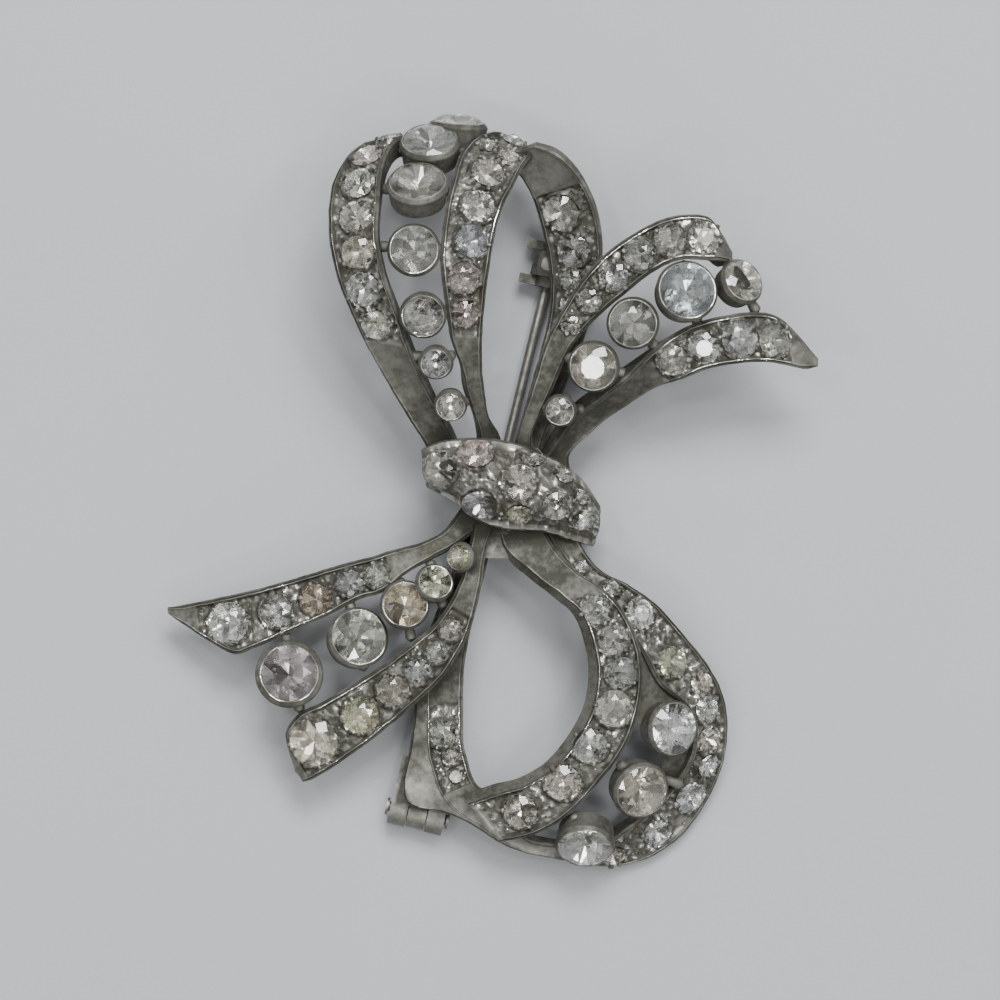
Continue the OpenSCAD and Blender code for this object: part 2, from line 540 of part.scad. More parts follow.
module hinge_base() {
    color(METAL)
        pin_frame()
            difference() {
                union() {
                    for (side = [-1, 1]) {
                        edge = side < 0 ? -hinge_w / 2 : hinge_w / 2 - ear_w;
                        translate([edge, 0, 0]) rotate([0, 90, 0]) cylinder(h = ear_w, r = ear_r, $fn = 48);
                        translate([edge, 0, 0]) cube([ear_w, ear_r, plate_top - pin_z]);
                    }
                    translate([-hinge_w / 2, ear_r + 0.1, plate_top - pin_z - 0.5]) cube([hinge_w, 2.9, 0.5]);
                    for (side = [-1, 1]) {
                        edge = side < 0 ? -hinge_w / 2 : hinge_w / 2 - ear_w;
                        translate([edge, ear_r - 0.4, plate_top - pin_z - 0.5]) cube([ear_w, 0.6, 0.5]);
                    }
                }
                translate([-hinge_w, 0, 0]) rotate([0, 90, 0])
                    cylinder(h = 2 * hinge_w, r = rivet_r + 0.02, $fn = 48);
            }
}
module hinge_rivet() {
    color(METAL)
        pin_frame()
            translate([-hinge_w / 2 - 0.15, 0, 0]) rotate([0, 90, 0]) {
                cylinder(h = hinge_w + 0.3, r = rivet_r, $fn = 48);
                for (z = [-0.2, hinge_w + 0.3])
                    translate([0, 0, z]) cylinder(h = 0.2, r = rivet_r + 0.3, $fn = 48);
            }
}
module pin_stem() {
    color(METAL)
        pin_frame()
            difference() {
                union() {
                    translate([-eye_w / 2, 0, 0]) rotate([0, 90, 0])
                        cylinder(h = eye_w, r = ear_r - 0.1, $fn = 48);
                    rotate([-90, 0, 0]) {
                        cylinder(h = root_length, r1 = root_r, r2 = pin_r, $fn = 48);
                        cylinder(h = pin_length - point_length, r = pin_r, $fn = 48);
                        translate([0, 0, pin_length - point_length])
                            cylinder(h = point_length, r1 = pin_r, r2 = 0.08, $fn = 48);
                    }
                }
                translate([-eye_w, 0, 0]) rotate([0, 90, 0])
                    cylinder(h = 2 * eye_w, r = rivet_r + clearance, $fn = 48);
            }
}

// A sleeve along the pin with a slot cut through one side
module slotted_sleeve(outer, inner, length, turn) {
    rotate([-90, 0, 0])
        difference() {
            translate([0, 0, -length / 2]) cylinder(h = length, r = outer, $fn = 64);
            translate([0, 0, -length]) cylinder(h = 2 * length, r = inner, $fn = 64);
            rotate([0, 0, turn]) translate([0, -slot_w / 2, -length]) cube([2 * outer, slot_w, 2 * length]);
        }
}
module catch_collar() {
    color(METAL)
        pin_frame() translate([0, catch_along, 0]) {
            slotted_sleeve(collar_r, barrel_r + clearance, collar_length, 90);
            difference() {
                translate([-1, -collar_length / 2, 0]) cube([2, collar_length, collar_r]);
                rotate([-90, 0, 0]) translate([0, 0, -collar_length])
                    cylinder(h = 2 * collar_length, r = collar_r - 0.1, $fn = 64);
            }
        }
}
module catch_barrel() {
    color(METAL)
        pin_frame() translate([0, catch_along, 0]) {
            slotted_sleeve(barrel_r, bore_r, barrel_length, slot_turn);
            for (side = [-1, 1])
                translate([-tab_reach, side * (barrel_length - tab_w) / 2 - tab_w / 2, -tab_h / 2])
                    cube([tab_reach - bore_r - 0.15, tab_w, tab_h]);
        }
}

bow_frame();
for (c = cups) cup_stone(c);
stone_row(upper_loop_left, upper_loop_left_set);  // upper_loop_left_stones
stone_row(upper_loop_right, upper_loop_right_set);  // upper_loop_right_stones
stone_row(upper_back, upper_back_set);  // upper_back_stones
stone_row(upper_tail_top, upper_tail_top_set);  // upper_tail_top_stones
stone_row(upper_tail_low, upper_tail_low_set);  // upper_tail_low_stones
stone_row(lower_tail_top, lower_tail_top_set);  // lower_tail_top_stones
stone_row(lower_tail_low, lower_tail_low_set);  // lower_tail_low_stones
stone_row(lower_loop_inner, lower_loop_inner_set);  // lower_loop_inner_stones
stone_row(lower_loop_outer, lower_loop_outer_set);  // lower_loop_outer_stones
stone_row(lower_back, lower_back_set);  // lower_back_stones
knot_stones();
hinge_base();
hinge_rivet();
pin_stem();
catch_collar();
catch_barrel();
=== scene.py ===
"""A bow brooch of tarnished cast metal, set with foiled glass stones.

The tables are in millimetres, and the finished pieces in metres.
"""
import math
import random

import bpy
from bpy.props import FloatProperty, FloatVectorProperty, IntProperty, PointerProperty
from mathutils import Matrix, Vector, noise


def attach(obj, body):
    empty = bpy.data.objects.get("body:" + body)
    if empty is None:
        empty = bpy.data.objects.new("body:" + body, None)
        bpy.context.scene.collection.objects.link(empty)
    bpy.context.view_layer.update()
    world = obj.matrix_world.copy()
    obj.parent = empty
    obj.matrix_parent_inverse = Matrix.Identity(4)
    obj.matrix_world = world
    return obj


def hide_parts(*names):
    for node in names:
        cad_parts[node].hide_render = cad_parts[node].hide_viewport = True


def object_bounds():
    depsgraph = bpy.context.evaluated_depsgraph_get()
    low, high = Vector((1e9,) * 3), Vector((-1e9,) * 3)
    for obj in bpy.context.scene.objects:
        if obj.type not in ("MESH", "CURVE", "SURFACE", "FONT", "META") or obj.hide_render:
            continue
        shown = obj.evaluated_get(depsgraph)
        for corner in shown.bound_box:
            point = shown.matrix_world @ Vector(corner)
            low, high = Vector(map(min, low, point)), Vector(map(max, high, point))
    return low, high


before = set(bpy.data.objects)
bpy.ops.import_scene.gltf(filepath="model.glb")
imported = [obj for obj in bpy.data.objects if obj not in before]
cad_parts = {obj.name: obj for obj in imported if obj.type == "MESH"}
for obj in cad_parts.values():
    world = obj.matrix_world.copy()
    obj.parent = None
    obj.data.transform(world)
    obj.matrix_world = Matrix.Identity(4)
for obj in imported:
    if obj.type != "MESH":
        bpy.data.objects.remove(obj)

bl_info = {
    "name": "Bow brooch",
    "version": (1, 0, 0),
    "blender": (4, 5, 0),
    "location": "3D View > Sidebar > Brooch",
    "description": "Builds the brooch's ribbons, knot, stone cups and cut stones round the packed frame",
    "category": "Object",
}

MM = 0.001
CAD_BOX = [list(corner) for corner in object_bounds()]

# The ribbons and the knot: a row for each section, the left edge's x, y and z, then the right edge's.
# Ribbons run from the knot outwards, and the knot from left to right.
RIBBONS = {
    "upper_loop_left": [
        (-4.1, 1.4, 4.7, -1.9, 2.4, 5), (-5.4, 3.8, 6.2, -3.1, 4.4, 6.8), (-6.9, 6.2, 7.6, -4.3, 6.8, 8.2),
        (-8.9, 9.6, 9.2, -5.6, 9.2, 9.8), (-10.2, 12, 10.2, -6.5, 11.4, 11),
        (-11.3, 14.4, 11.2, -7.5, 14.3, 12.2), (-12.3, 17, 11.9, -8.4, 17, 12.9),
        (-12.9, 20.2, 12.1, -9, 20.2, 13.3), (-12.9, 23.2, 11.4, -8.9, 23.2, 12.8),
        (-12.4, 25.3, 10.2, -8.7, 25.6, 11.7), (-11.3, 27.2, 8.4, -8.1, 27.4, 9.9),
        (-9.9, 28.1, 6.6, -7.1, 28.4, 8.1), (-7.9, 28.3, 5, -5.4, 28.9, 6.2),
        (-5.3, 28.2, 3.8, -3.3, 29, 4.6)],
    "upper_loop_right": [
        (-1.1, 1.8, 4.8, 1.1, 2.4, 4.7), (-1, 4.2, 6.4, 0.7, 4.4, 6), (-1.4, 6.1, 7.8, -0.2, 6.1, 7.4),
        (-2, 7.8, 8.9, -0.5, 8, 8.5), (-2.5, 10, 10, -0.7, 9.8, 9.6), (-3.2, 12, 11.2, -0.7, 11.8, 10.7),
        (-3.6, 14.6, 12.4, -0.5, 14.6, 11.7), (-4, 17.8, 13.2, -0.1, 17.8, 12.4),
        (-3.9, 20.2, 13.4, 0.3, 20.2, 12.5), (-3.6, 22.6, 12.9, 0.9, 22.4, 11.9),
        (-3.1, 24.7, 12, 1.8, 24.4, 10.8), (-2.5, 26.8, 10.4, 2.6, 26, 9.2),
        (-1.3, 28.4, 8.3, 3.4, 27.1, 7.4), (0.1, 29, 6, 4, 27.5, 5.6), (1.3, 28.8, 4.2, 4.3, 27.2, 4.2)],
    "upper_back": [
        (1.1, 1.8, 4.4, 3.5, 2.2, 4.6), (2.1, 5, 4.1, 4.5, 5, 4.6), (3.1, 8.6, 4.1, 5.9, 8.6, 4.8),
        (4, 11.8, 4.1, 7.1, 11.8, 5.1), (4.6, 14.6, 4.2, 8.1, 15, 5.5), (4.7, 17, 4.4, 8.7, 17.6, 6),
        (4.4, 19.4, 4.7, 8.8, 20.2, 6.5), (3.9, 21.4, 5.1, 8.4, 22.4, 7.1),
        (3.4, 23.1, 5.5, 7.6, 24.2, 7.6), (2.8, 24.4, 5.9, 6.5, 25.8, 8), (2, 25.5, 6.3, 5.1, 27, 8.2),
        (0.7, 26.6, 6.5, 3.5, 27.6, 7.9)],
    "upper_tail_top": [
        (1.7, 2.4, 4.8, 3.7, 2.6, 4.9), (2, 4.4, 5.8, 3.3, 4.7, 6), (3.1, 8.2, 7.2, 4.8, 8, 7.5),
        (4.1, 11.4, 8.3, 6.1, 11, 8.6), (5.1, 13.6, 9, 7.3, 12.7, 9.3), (6.8, 16.4, 9.9, 9, 14.4, 10.2),
        (8.9, 18.8, 10.7, 11.1, 16.1, 10.9), (11.6, 20.7, 11.3, 13.1, 17.6, 11.5),
        (14.1, 21.8, 11.5, 15.2, 18.4, 11.8), (16.7, 22, 11, 17.1, 18.4, 11.4),
        (18, 21.2, 10.4, 18.5, 18.4, 10.8), (19.2, 19.2, 9.4, 19.3, 18.1, 9.6)],
    "upper_tail_low": [
        (3.5, 1.8, 4.9, 6.3, 1.8, 4.6), (4.9, 3.4, 5.8, 6.5, 3.2, 4.9), (6.7, 5.8, 7.2, 8.9, 5.4, 5.6),
        (8.7, 7.4, 8.2, 11.3, 7.1, 6.6), (10.8, 9.2, 9.1, 13.3, 8.3, 7.8),
        (13.1, 11.5, 9.9, 15.1, 8.9, 8.9), (15.7, 13.2, 10.3, 17.1, 9.7, 9.5),
        (18.5, 14, 10.3, 19.7, 10.2, 9.6), (21.1, 14.3, 9.9, 22.1, 10.3, 9.4),
        (23.1, 13.8, 9.3, 23.9, 10, 9), (24.9, 12.1, 8.6, 25.2, 9.8, 8.5), (26.1, 10.7, 8, 26.1, 10, 8)],
    "lower_tail_top": [
        (-0.5, -2.6, 5.6, -2.3, -1, 5.4), (-2.8, -4.2, 6.2, -3.9, -3.1, 6),
        (-4.9, -5.4, 6.4, -5.7, -4, 6.2), (-6.9, -6.6, 6.5, -7.5, -4.5, 6.3),
        (-8.7, -8, 6.5, -9.5, -5.1, 6.3), (-10.8, -8.7, 6.4, -11.7, -5.7, 6.2),
        (-13.5, -10.1, 6.2, -14.1, -6.4, 6), (-16.1, -11.2, 5.9, -16.7, -7.2, 5.7),
        (-18.7, -12.4, 5.5, -19.3, -7.9, 5.3), (-20.7, -13, 5.1, -21.5, -8.4, 4.9),
        (-23.1, -11.8, 4.6, -23.5, -8.8, 4.4), (-24.8, -10.7, 4.1, -24.9, -9.1, 4),
        (-26.1, -9.8, 3.7, -26.1, -9.3, 3.7)],
    "lower_tail_low": [
        (0.5, -2.2, 5.8, -1.5, -2.6, 5.8), (-0.4, -4.6, 6.4, -1.9, -4.8, 6.4),
        (-0.8, -7.4, 6.6, -2.5, -7, 6.6), (-1.4, -10, 6.6, -3.4, -8.9, 6.7),
        (-2.3, -12.4, 6.5, -4.8, -10.8, 6.7), (-4.1, -15.1, 6.3, -6.8, -12.4, 6.6),
        (-6.7, -17.5, 6, -9.2, -14.2, 6.3), (-9.3, -19.7, 5.6, -11.8, -15.8, 5.9),
        (-11.5, -21.3, 5.2, -13.9, -17, 5.5), (-13.3, -22.5, 4.8, -15.6, -17.9, 5.1),
        (-14.5, -23.2, 4.4, -16.6, -19.6, 4.7), (-15.2, -23.4, 4.1, -15.9, -22.4, 4.1)],
    "lower_loop_inner": [
        (3.9, -2.2, 6, 0.5, -3.4, 5.8), (4.9, -4.2, 7, 1.3, -5.4, 6.4), (6.9, -6.4, 7.6, 3.1, -7, 7),
        (8.7, -7.6, 8, 4.9, -8.4, 7.5), (10.5, -9.4, 8.3, 6.5, -9.9, 7.9),
        (11.7, -12, 8.4, 7.4, -12.2, 8.2), (12.1, -14.8, 8.3, 7.7, -14.6, 8.2),
        (11.7, -17.8, 8, 7.3, -17.2, 8), (10.6, -20.6, 7.5, 6.1, -19.6, 7.6),
        (8.7, -23.2, 6.8, 4.3, -21.8, 7), (6.3, -25.8, 6.1, 2.1, -23.1, 6.4),
        (3.6, -27.5, 5.5, 0.1, -23.6, 5.9), (0.7, -28.2, 4.8, -2.4, -24.5, 5.2)],
    "lower_loop_outer": [
        (6.4, -2.7, 5.3, 4.4, -3.1, 6.2), (8.5, -5.9, 6.4, 6.7, -6.6, 7.4),
        (11.1, -7.4, 6.3, 8.9, -8.6, 7.7), (13.45, -9.1, 5.8, 10.9, -11, 7.4),
        (15.65, -11.6, 5, 12.3, -13.2, 6.9), (17.5, -13.9, 4.1, 13.6, -15.5, 6.2),
        (18.8, -16.4, 3.3, 15.6, -17.1, 5.5), (19.2, -19.2, 2.6, 16.4, -19.2, 5),
        (18.8, -22.1, 2, 16, -21.6, 4.6), (17.6, -25, 1.35, 14.6, -23.8, 4.1),
        (15.6, -27.8, 1.1, 12.7, -25.8, 3.7), (13.1, -29.6, 1.1, 10.5, -27.5, 3.3),
        (10.3, -30.4, 1.2, 8.5, -29, 3), (7.5, -30.3, 1.7, 6.5, -28.9, 2.9)],
    "lower_back": [
        (0.5, -2.6, 5, -1.7, -2.2, 4.8), (-0.4, -5.8, 4.8, -2.9, -5.4, 4.4),
        (-1.2, -9.1, 4.6, -4.1, -8.6, 4.1), (-1.9, -12, 4.5, -5.3, -11.8, 4),
        (-2.3, -15, 4.5, -6.1, -15, 3.9), (-2.3, -17.8, 4.5, -6.3, -18.2, 3.9),
        (-2.3, -20.1, 4.6, -6.7, -21, 4.1), (-1.9, -21.7, 4.7, -7.2, -23.4, 4.25),
        (-1.5, -23, 4.8, -6.7, -25.2, 4.25), (-0.9, -23.9, 4.9, -4.1, -25.8, 4.15),
        (0, -24.6, 5, -1.8, -26.8, 3.8), (1, -25.9, 4.9, 0.5, -28.3, 3.6),
        (2.7, -27.9, 4.2, 2.7, -29.2, 3.4), (4.7, -28.4, 3.7, 5.1, -29.7, 3),
        (6.8, -28.7, 3.2, 7.8, -30.1, 2.6)],
}
KNOT = [
    (-5.7, 3.4, 8, -5.3, 0.4, 7.8), (-3.7, 4.1, 8.3, -3, -0.8, 7.9), (-0.9, 4.3, 8.4, -1.1, -2.3, 7.9),
    (1.9, 3.9, 8.3, 1.1, -3, 7.8), (4.7, 2.8, 7.8, 3.9, -3.2, 7.3), (7.1, 1.2, 6.9, 6.1, -3.8, 6.5),
    (8.9, -1.2, 6, 8.3, -4.5, 5.7),
]

# Each ribbon's channel: first and last row, thickness of the casting
CHANNELS = {
    "upper_loop_left": (4.05, 12.2, 1.54), "upper_loop_right": (5.2, 13.4, 1.54),
    "upper_back": (3.4, 8.25, 1.23), "upper_tail_top": (3.75, 9.6, 1.54), "upper_tail_low": (4.55, 9.1, 1.54),
    "lower_tail_top": (3.6, 10.2, 1.54), "lower_tail_low": (3.1, 10.2, 1.54),
    "lower_loop_inner": (3.3, 11.8, 1.54), "lower_loop_outer": (0.65, 12.3, 1.54),
    "lower_back": (4.7, 8.25, 1.23),
}
# Width of a channel that leaves a shelf of plain metal on its right
CHANNEL_W = {"lower_back": 2.4}
# How far a right rim is set in from the ribbon's edge
SET_IN = {"lower_loop_inner": 0.62}
# Small stones of each ribbon and of the knot: place along it in rows, place across it from -1 to 1, radius
SMALL_STONES = {
    "upper_loop_left": [
        (4.57, -0.1, 1.26), (5.64, -0.07, 1.4), (6.6, 0.1, 1.35), (7.5, 0.12, 1.3), (8.53, 0.14, 1.35),
        (9.68, 0.06, 1.3), (11.25, -0.05, 1.05)],
    "upper_loop_right": [
        (5.82, 0, 1.08), (6.7, -0.03, 1.3), (7.81, 0.16, 1.35), (9.06, 0.11, 1.35), (10.42, 0.04, 1.35),
        (11.33, 0.42, 0.95), (11.75, -0.45, 0.85), (12.75, 0, 1)],
    "upper_back": [
        (4.11, 0, 0.97), (4.93, -0.15, 0.87), (5.84, -0.05, 1.35), (7.31, -0.2, 1.5)],
    "upper_tail_top": [
        (4.09, 0, 0.77), (4.93, 0.03, 1), (5.85, 0.05, 1.2), (6.75, 0, 1.28), (7.78, 0.01, 1.25),
        (8.99, 0, 1.35)],
    "upper_tail_low": [
        (5.17, -0.02, 1.26), (6.18, 0.07, 1.29), (7.24, 0.01, 1.46), (8.5, 0.05, 1.36)],
    "lower_tail_top": [
        (4.06, -0.06, 0.98), (5.05, -0.03, 1.08), (6.13, -0.12, 1.25), (7.34, 0, 1.35), (9.01, 0.09, 1.7)],
    "lower_tail_low": [
        (3.75, 0.04, 0.9), (4.54, -0.07, 0.9), (5.24, -0.1, 1.09), (6.01, -0.06, 1.33), (7.03, -0.08, 1.5),
        (8.91, 0, 2)],
    "lower_loop_inner": [
        (3.87, 0, 1.2), (4.89, -0.11, 1.23), (5.88, -0.21, 1.27), (6.91, -0.11, 1.53), (8.11, 0.14, 1.45),
        (9.37, -0.02, 1.5), (10.9, -0.12, 1.38)],
    "lower_loop_outer": [
        (0.88, 0.13, 0.5), (1.84, -0.02, 0.72), (2.86, 0, 1.29), (4.49, 0.11, 1.3), (5.41, -0.35, 0.95),
        (6.32, 0.08, 1.15), (7.29, 0.12, 1.17), (8.09, -0.16, 0.97), (9.09, -0.13, 1.42),
        (10.36, -0.08, 1.25), (11.8, 0, 0.97)],
    "lower_back": [
        (5.61, -0.27, 1.11), (6.54, -0.56, 0.67)],
    "knot": [
        (0.79, -0.13, 1.45), (1.9, -0.66, 1.45), (3.43, -0.83, 1.1), (2.07, 0.56, 1.5), (3.13, -0.18, 1.45),
        (4.32, -0.71, 0.85), (4.15, 0.17, 1.2), (5.08, 0.22, 0.95), (3.27, 0.59, 1.05), (4.87, -0.4, 0.7)],
}
# Seats that have lost their stone: place along the ribbon in rows, place across it from -1 to 1, radius
EMPTY_SEATS = {"lower_back": [(7.55, -0.55, 0.6)]}
LOST_DEPTH = 0.14
LOST_WEAR = 0.7
# Stone cups: name, x, y and z of the rim's middle, lean from upright, way it leans, stone radius, cup radius
CUPS = [
    ("upper_loop_stone_1", -2.65, 29.55, 6.7, 82, 86, 2.14, 2.4),
    ("upper_loop_stone_2", -4.9, 27.95, 9.7, 51, 92, 2.19, 2.45),
    ("upper_loop_stone_3", -5.85, 24.5, 13.1, 46, 92, 2.2, 2.45),
    ("upper_loop_stone_4", -6.1, 19.1, 13.7, 6, 90, 1.88, 2.15),
    ("upper_loop_stone_5", -5.4, 13.9, 12.9, 14, -90, 1.64, 1.9),
    ("upper_loop_stone_6", -4.4, 10.15, 11.4, 20, -90, 1.17, 1.42),
    ("upper_loop_stone_7", -3.25, 6.8, 9.6, 22, -90, 1.12, 1.36),
    ("upper_tail_stone_1", 5.45, 6.45, 8.2, 14, -130, 1.1, 1.35),
    ("upper_tail_stone_2", 8.1, 9.95, 10.2, 10, -130, 1.85, 2.1),
    ("upper_tail_stone_3", 11.2, 13.35, 11.3, 6, -130, 1.87, 2.12),
    ("upper_tail_stone_4", 15.5, 15.95, 12, 14, 45, 2.24, 2.5),
    ("upper_tail_stone_5", 20, 16.8, 10.4, 36, 35, 1.7, 1.95),
    ("lower_tail_stone_1", -16.2, -14.55, 6.4, 10, 80, 2.3, 2.75),
    ("lower_tail_stone_2", -10.6, -11.6, 7.2, 18, 40, 2.2, 2.5),
    ("lower_tail_stone_3", -6.9, -9, 7.5, 12, 50, 1.78, 2.02),
    ("lower_tail_stone_4", -4.5, -7.2, 7.6, 22, 50, 1.34, 1.6),
    ("lower_tail_stone_5", -2.6, -5.2, 7.7, 30, 170, 1, 1.25),
    ("lower_loop_stone_1", 14.6, -18.95, 7, 30, -4, 2.06, 2.3),
    ("lower_loop_stone_2", 12.05, -24, 6.5, 26, -40, 2.1, 2.4),
    ("lower_loop_stone_3", 7.5, -28.6, 5, 46, -95, 2.2, 2.45),
]
# Bars that tie the cups to the ribbons: x, y and z of each end
BARS = [
    (-7.8, 27.3, 7.9, -1.8, 27.2, 8.2), (-8.8, 24, 11.4, -3.2, 23.8, 11.6),
    (-9, 19.4, 12.2, -3.9, 19.4, 12.2), (-7.6, 14, 11.3, -3.8, 14, 11.6),
    (-6.6, 10.8, 10, -2.8, 10.8, 10.2), (-4.6, 7.2, 8.2, -1.7, 7.2, 8.2), (4, 6.8, 6.6, 7.6, 6.6, 7.2),
    (5.8, 10.8, 8.3, 10.8, 9.4, 8.4), (9.9, 15, 9.6, 13.2, 11.4, 9.3), (15.2, 18.4, 10.8, 16.4, 13.2, 9.6),
    (18.6, 18.6, 9.8, 21.2, 14.2, 9.2), (-16.6, -11.2, 5.2, -15.4, -17.8, 4.6),
    (-11.4, -8.7, 5.7, -10.2, -14.4, 5.7), (-7.4, -6.8, 5.8, -6.4, -12, 5.9),
    (-5, -5.4, 5.8, -3.8, -9.4, 5.9), (-3.2, -4.2, 5.6, -1.8, -5.8, 5.8),
    (10, -21.8, 6.6, 15.4, -23.6, 4.2), (6.4, -25.9, 5.4, 9, -28.8, 3),
]
# The plate that joins the lower loop's two front ribbons behind its cups: its two edges at each section
LOOP_WEB = [
    (10.3, -9.9, 6.7, 9.6, -9.2, 7.3), (12.2, -12.6, 6.2, 11.3, -12.6, 7.4),
    (14, -15.6, 5.3, 11.6, -15.4, 7.2), (16.6, -18.4, 4.3, 11.4, -17.9, 6.9),
    (16.3, -21.4, 3.7, 13.6, -20.4, 5.4), (15.1, -23.7, 3.2, 13.4, -22.9, 4.9),
    (13, -26.1, 2.8, 12.2, -25, 4.4),
]
# The small plate that fills the fork under the knot
THROAT = [(1.2, -2.3, 5.5, -0.7, -2.3, 5.5), (1.4, -4, 5.9, -0.6, -4, 5.9), (1.6, -5.3, 6.1, -0.8, -5.3, 6.1)]
PLATE_T = 0.8
# The pin's frame, and the cast pads over the hinge and the catch: both ends along the pin, half width, foot
HINGE_AT = (-6, -26, 1.5)
PIN_TURN = -13.7
PADS = [(0.6, 4.4, 1.9, 1.43), (44.6, 46.6, 1.1, 1.58)]
# A pad's sections: height over its foot, inset of its ends
PAD_STEPS = [(0, 0.08), (0.05, 0), (0.35, 0), (0.6, 0.3), (0.98, 0.5)]
PAD_CORNER = 0.22

# A ribbon's side, from the ribbon's foot up. Wall: depth as a share of the thickness, wear, which falls
# towards the foot so the side darkens downwards
WALL = [(0.985, 0.05), (0.9, 0.1), (0.7, 0.15), (0.5, 0.15), (0.3, 0.2), (0.16, 0.25)]
WALL_SLANT = 0.14
# Slope outside the rim: its steps, its fall to the wall, how far it lies under the rim, its wear
SLOPE_STEPS = (0.03, 0.35, 0.7, 0.97)
SLOPE_FALL = 0.9
SLOPE_SINK = 0.04
SLOPE_WEAR = 0.12
# Rim: inset as a share of its width, height, wear; the wear of 1 along its top paints a bright line, partly
# real wear and partly a painted highlight
RIM = [(0, -0.2, 0.1), (0.1, -0.13, 0.1), (0.25, -0.1, 0.1), (0.36, -0.09, 0.12), (0.5, -0.06, 0.15),
       (0.58, -0.02, 0.5), (0.64, 0, 1), (0.82, 0, 1), (0.9, -0.035, 0.5), (1, -0.12, 0.1)]
# The rim's share that stands as an edge on plain stretches, and the share from which it lies past a shelf
PLAIN_EDGE = 0.2
SHELF_FROM = 0.36
# Shelf of plain metal: its steps, where it starts on the rim, its height, its least width
SHELF_STEPS = (0.04, 0.16, 0.28, 0.4, 0.52, 0.64, 0.76, 0.88, 0.96)
SHELF_START = 0.14
SHELF_H = -0.03
SHELF_LEAST = 0.03
# Wear of the shelf before and after a stretch of rows
SHELF_WEAR = (0.1, 0.5)
SHELF_WORN_ROWS = (5.4, 6.8)
# Most that a rim and a set-in take of half a ribbon, and the rows in which a set-in grows
RIM_MOST = 0.42
SET_IN_MOST = 0.35
SET_IN_ROWS = (0.3, 1.5)
# Points across the ground between the rims, and across the underside
GROUND_STEPS = 22
UNDER = (-0.8, -0.45, 0, 0.45, 0.8)
# Hollow of the plain stretches, the half widths over which it grows, and wear before and after the channel
PLAIN_HOLLOW = 0.17
HOLLOW_FROM = (0.2, 0.9)
PLAIN_WEAR = {"upper_back": (0.08, 0.35), "lower_back": (0.08, 0.5), "lower_loop_inner": (0.08, 0.5)}
PLAIN_WEAR_ELSEWHERE = (0.06, 0.1)
# Sections of a ribbon or the knot to each row, and the closer ones round a channel's end
SECTIONS = 18
END_STEPS = (-0.08, -0.04, 0, 0.04, 0.08)
END_RAMP = 0.07

# Seat of a small stone: play round it, depth and slope of its cone, place, half width and depth of its collar
SEAT_PLAY = 0.02
SEAT_DEPTH = 0.16
SEAT_SLOPE = 0.62
COLLAR_AT = 0.1
COLLAR_HALF = 0.14
COLLAR_DEPTH = 0.04
# Depth of a stone's girdle under the face, in a ribbon and in the knot
GIRDLE_DROP = 0.04
KNOT_GIRDLE_DROP = 0.1

# Noise of the casting: waves to the millimetre, seed
LUMPS = (2.6, 71)
WORN_PLACES = (0.4, 51)
BEAD_FORM = (3.6, 61)
# Noise in a height: rise, waves to the millimetre, seed
GROUND_WAVES = [(0.07, 2.1, 31), (0.05, 4.3, 37)]
KNOT_WAVES = [(0.07, 1.1, 21), (0.06, 3.7, 23)]
PLATE_WAVES = [(0.1, 1, 41), (0.06, 3.1, 43)]
# Noise that pushes the skin three ways: waves to the millimetre, three seeds
LONG_WAVES = (0.8, (0, 7, 13))
SHORT_WAVES = (2.6, (3, 5, 9))
KNOT_SHORT_WAVES = (2.4, (3, 5, 9))

# The knot: rise of its arch, the plane its walls stand on, points across it, steps of its walls and underside
KNOT_RISE = 2.6
KNOT_BASE = 3.05
KNOT_STEPS = 44
KNOT_WALL_STEPS = (0.2, 0.45, 0.7, 0.94)
KNOT_UNDER_STEPS = (0.05, 0.35, 0.65, 0.95)
KNOT_GRAINS = 420
# The knot's claws over a ribbon's
KNOT_CLAW = 1.15
# Claws: number to a stone, unevenness of their turn, lean, size over the claw radius, height over it, wear
CLAWS_A_STONE = 5
CLAW_TURN = 0.3
CLAW_LEAN = (0.2, 0.9)
CLAW_SIZE = (0.65, 1.2)
CLAW_TALL = (1.0, 1.6)
CLAW_WEAR = (0.1, 0.7)
# Grains strewn over the ground: number to a ribbon's row, radius, height over it, wear
GRAINS = 60
GRAIN_R = (0.05, 0.15)
GRAIN_TALL = (0.7, 1.4)
GRAIN_WEAR = 0.9
# Ground between the stones: its wear, and its worn lumps' rise and wear, whose high wear paints the lumps
# bright, partly as real wear and partly as painted glints
GROUND_WEAR = 0.14
LUMP_RISE = 0.1
LUMP_WEAR_AND_GLINT = 0.8
KNOT_LUMP_WEAR_AND_GLINT = 0.7
KNOT_EDGE_WEAR = 0.3

# Cups: thickness of the floor, room under the stone's point, sides, wobble of the turning
CUP_FLOOR = 0.57
BORE_EXTRA = 0.12
CUP_SIDES = 44
CUP_WOBBLE = 0.02
# Bars: radius, sides, sections, wear
BAR_R = 0.455
BAR_SIDES = 12
BAR_STEPS = 24
BAR_WEAR = 0.3
# Angle in degrees over which an edge of the casting stays sharp
SHARP = 40

# Foiled facets: shades, some darker at random as painted shade standing in for a cut stone's dark
# reflections, how much a shade spreads, dullnesses, chance and shade of a worn facet
FOIL_SHADES = (0.55, 0.75, 0.95, 1.0, 1.0)
FOIL_SPREAD = (0.88, 1.0)
FOIL_DULL = (0.0, 0.0, 0.0, 0.3, 0.6, 1.0)
WORN_CHANCE = 0.15
WORN_SHADE = 0.4
# Facets: where the star facets end on the crown and the inner ones on the back, half height of the girdle
STAR_EXTRA = 0.02
PIT_SHARE = 0.42
GIRDLE_SHARE = 0.012
# Deepest back of a ribbon's small stones
SMALL_CONE = 0.82
# Tints of the stones, the first five also of the large ones
TINTS = [(1, 1, 0.95), (0.98, 1, 0.96), (1, 0.99, 0.9), (1, 0.95, 0.82), (0.96, 0.99, 0.98), (0.96, 1, 0.88),
         (1, 0.94, 0.86), (0.9, 0.92, 0.9)]
LARGE_TINTS = 5
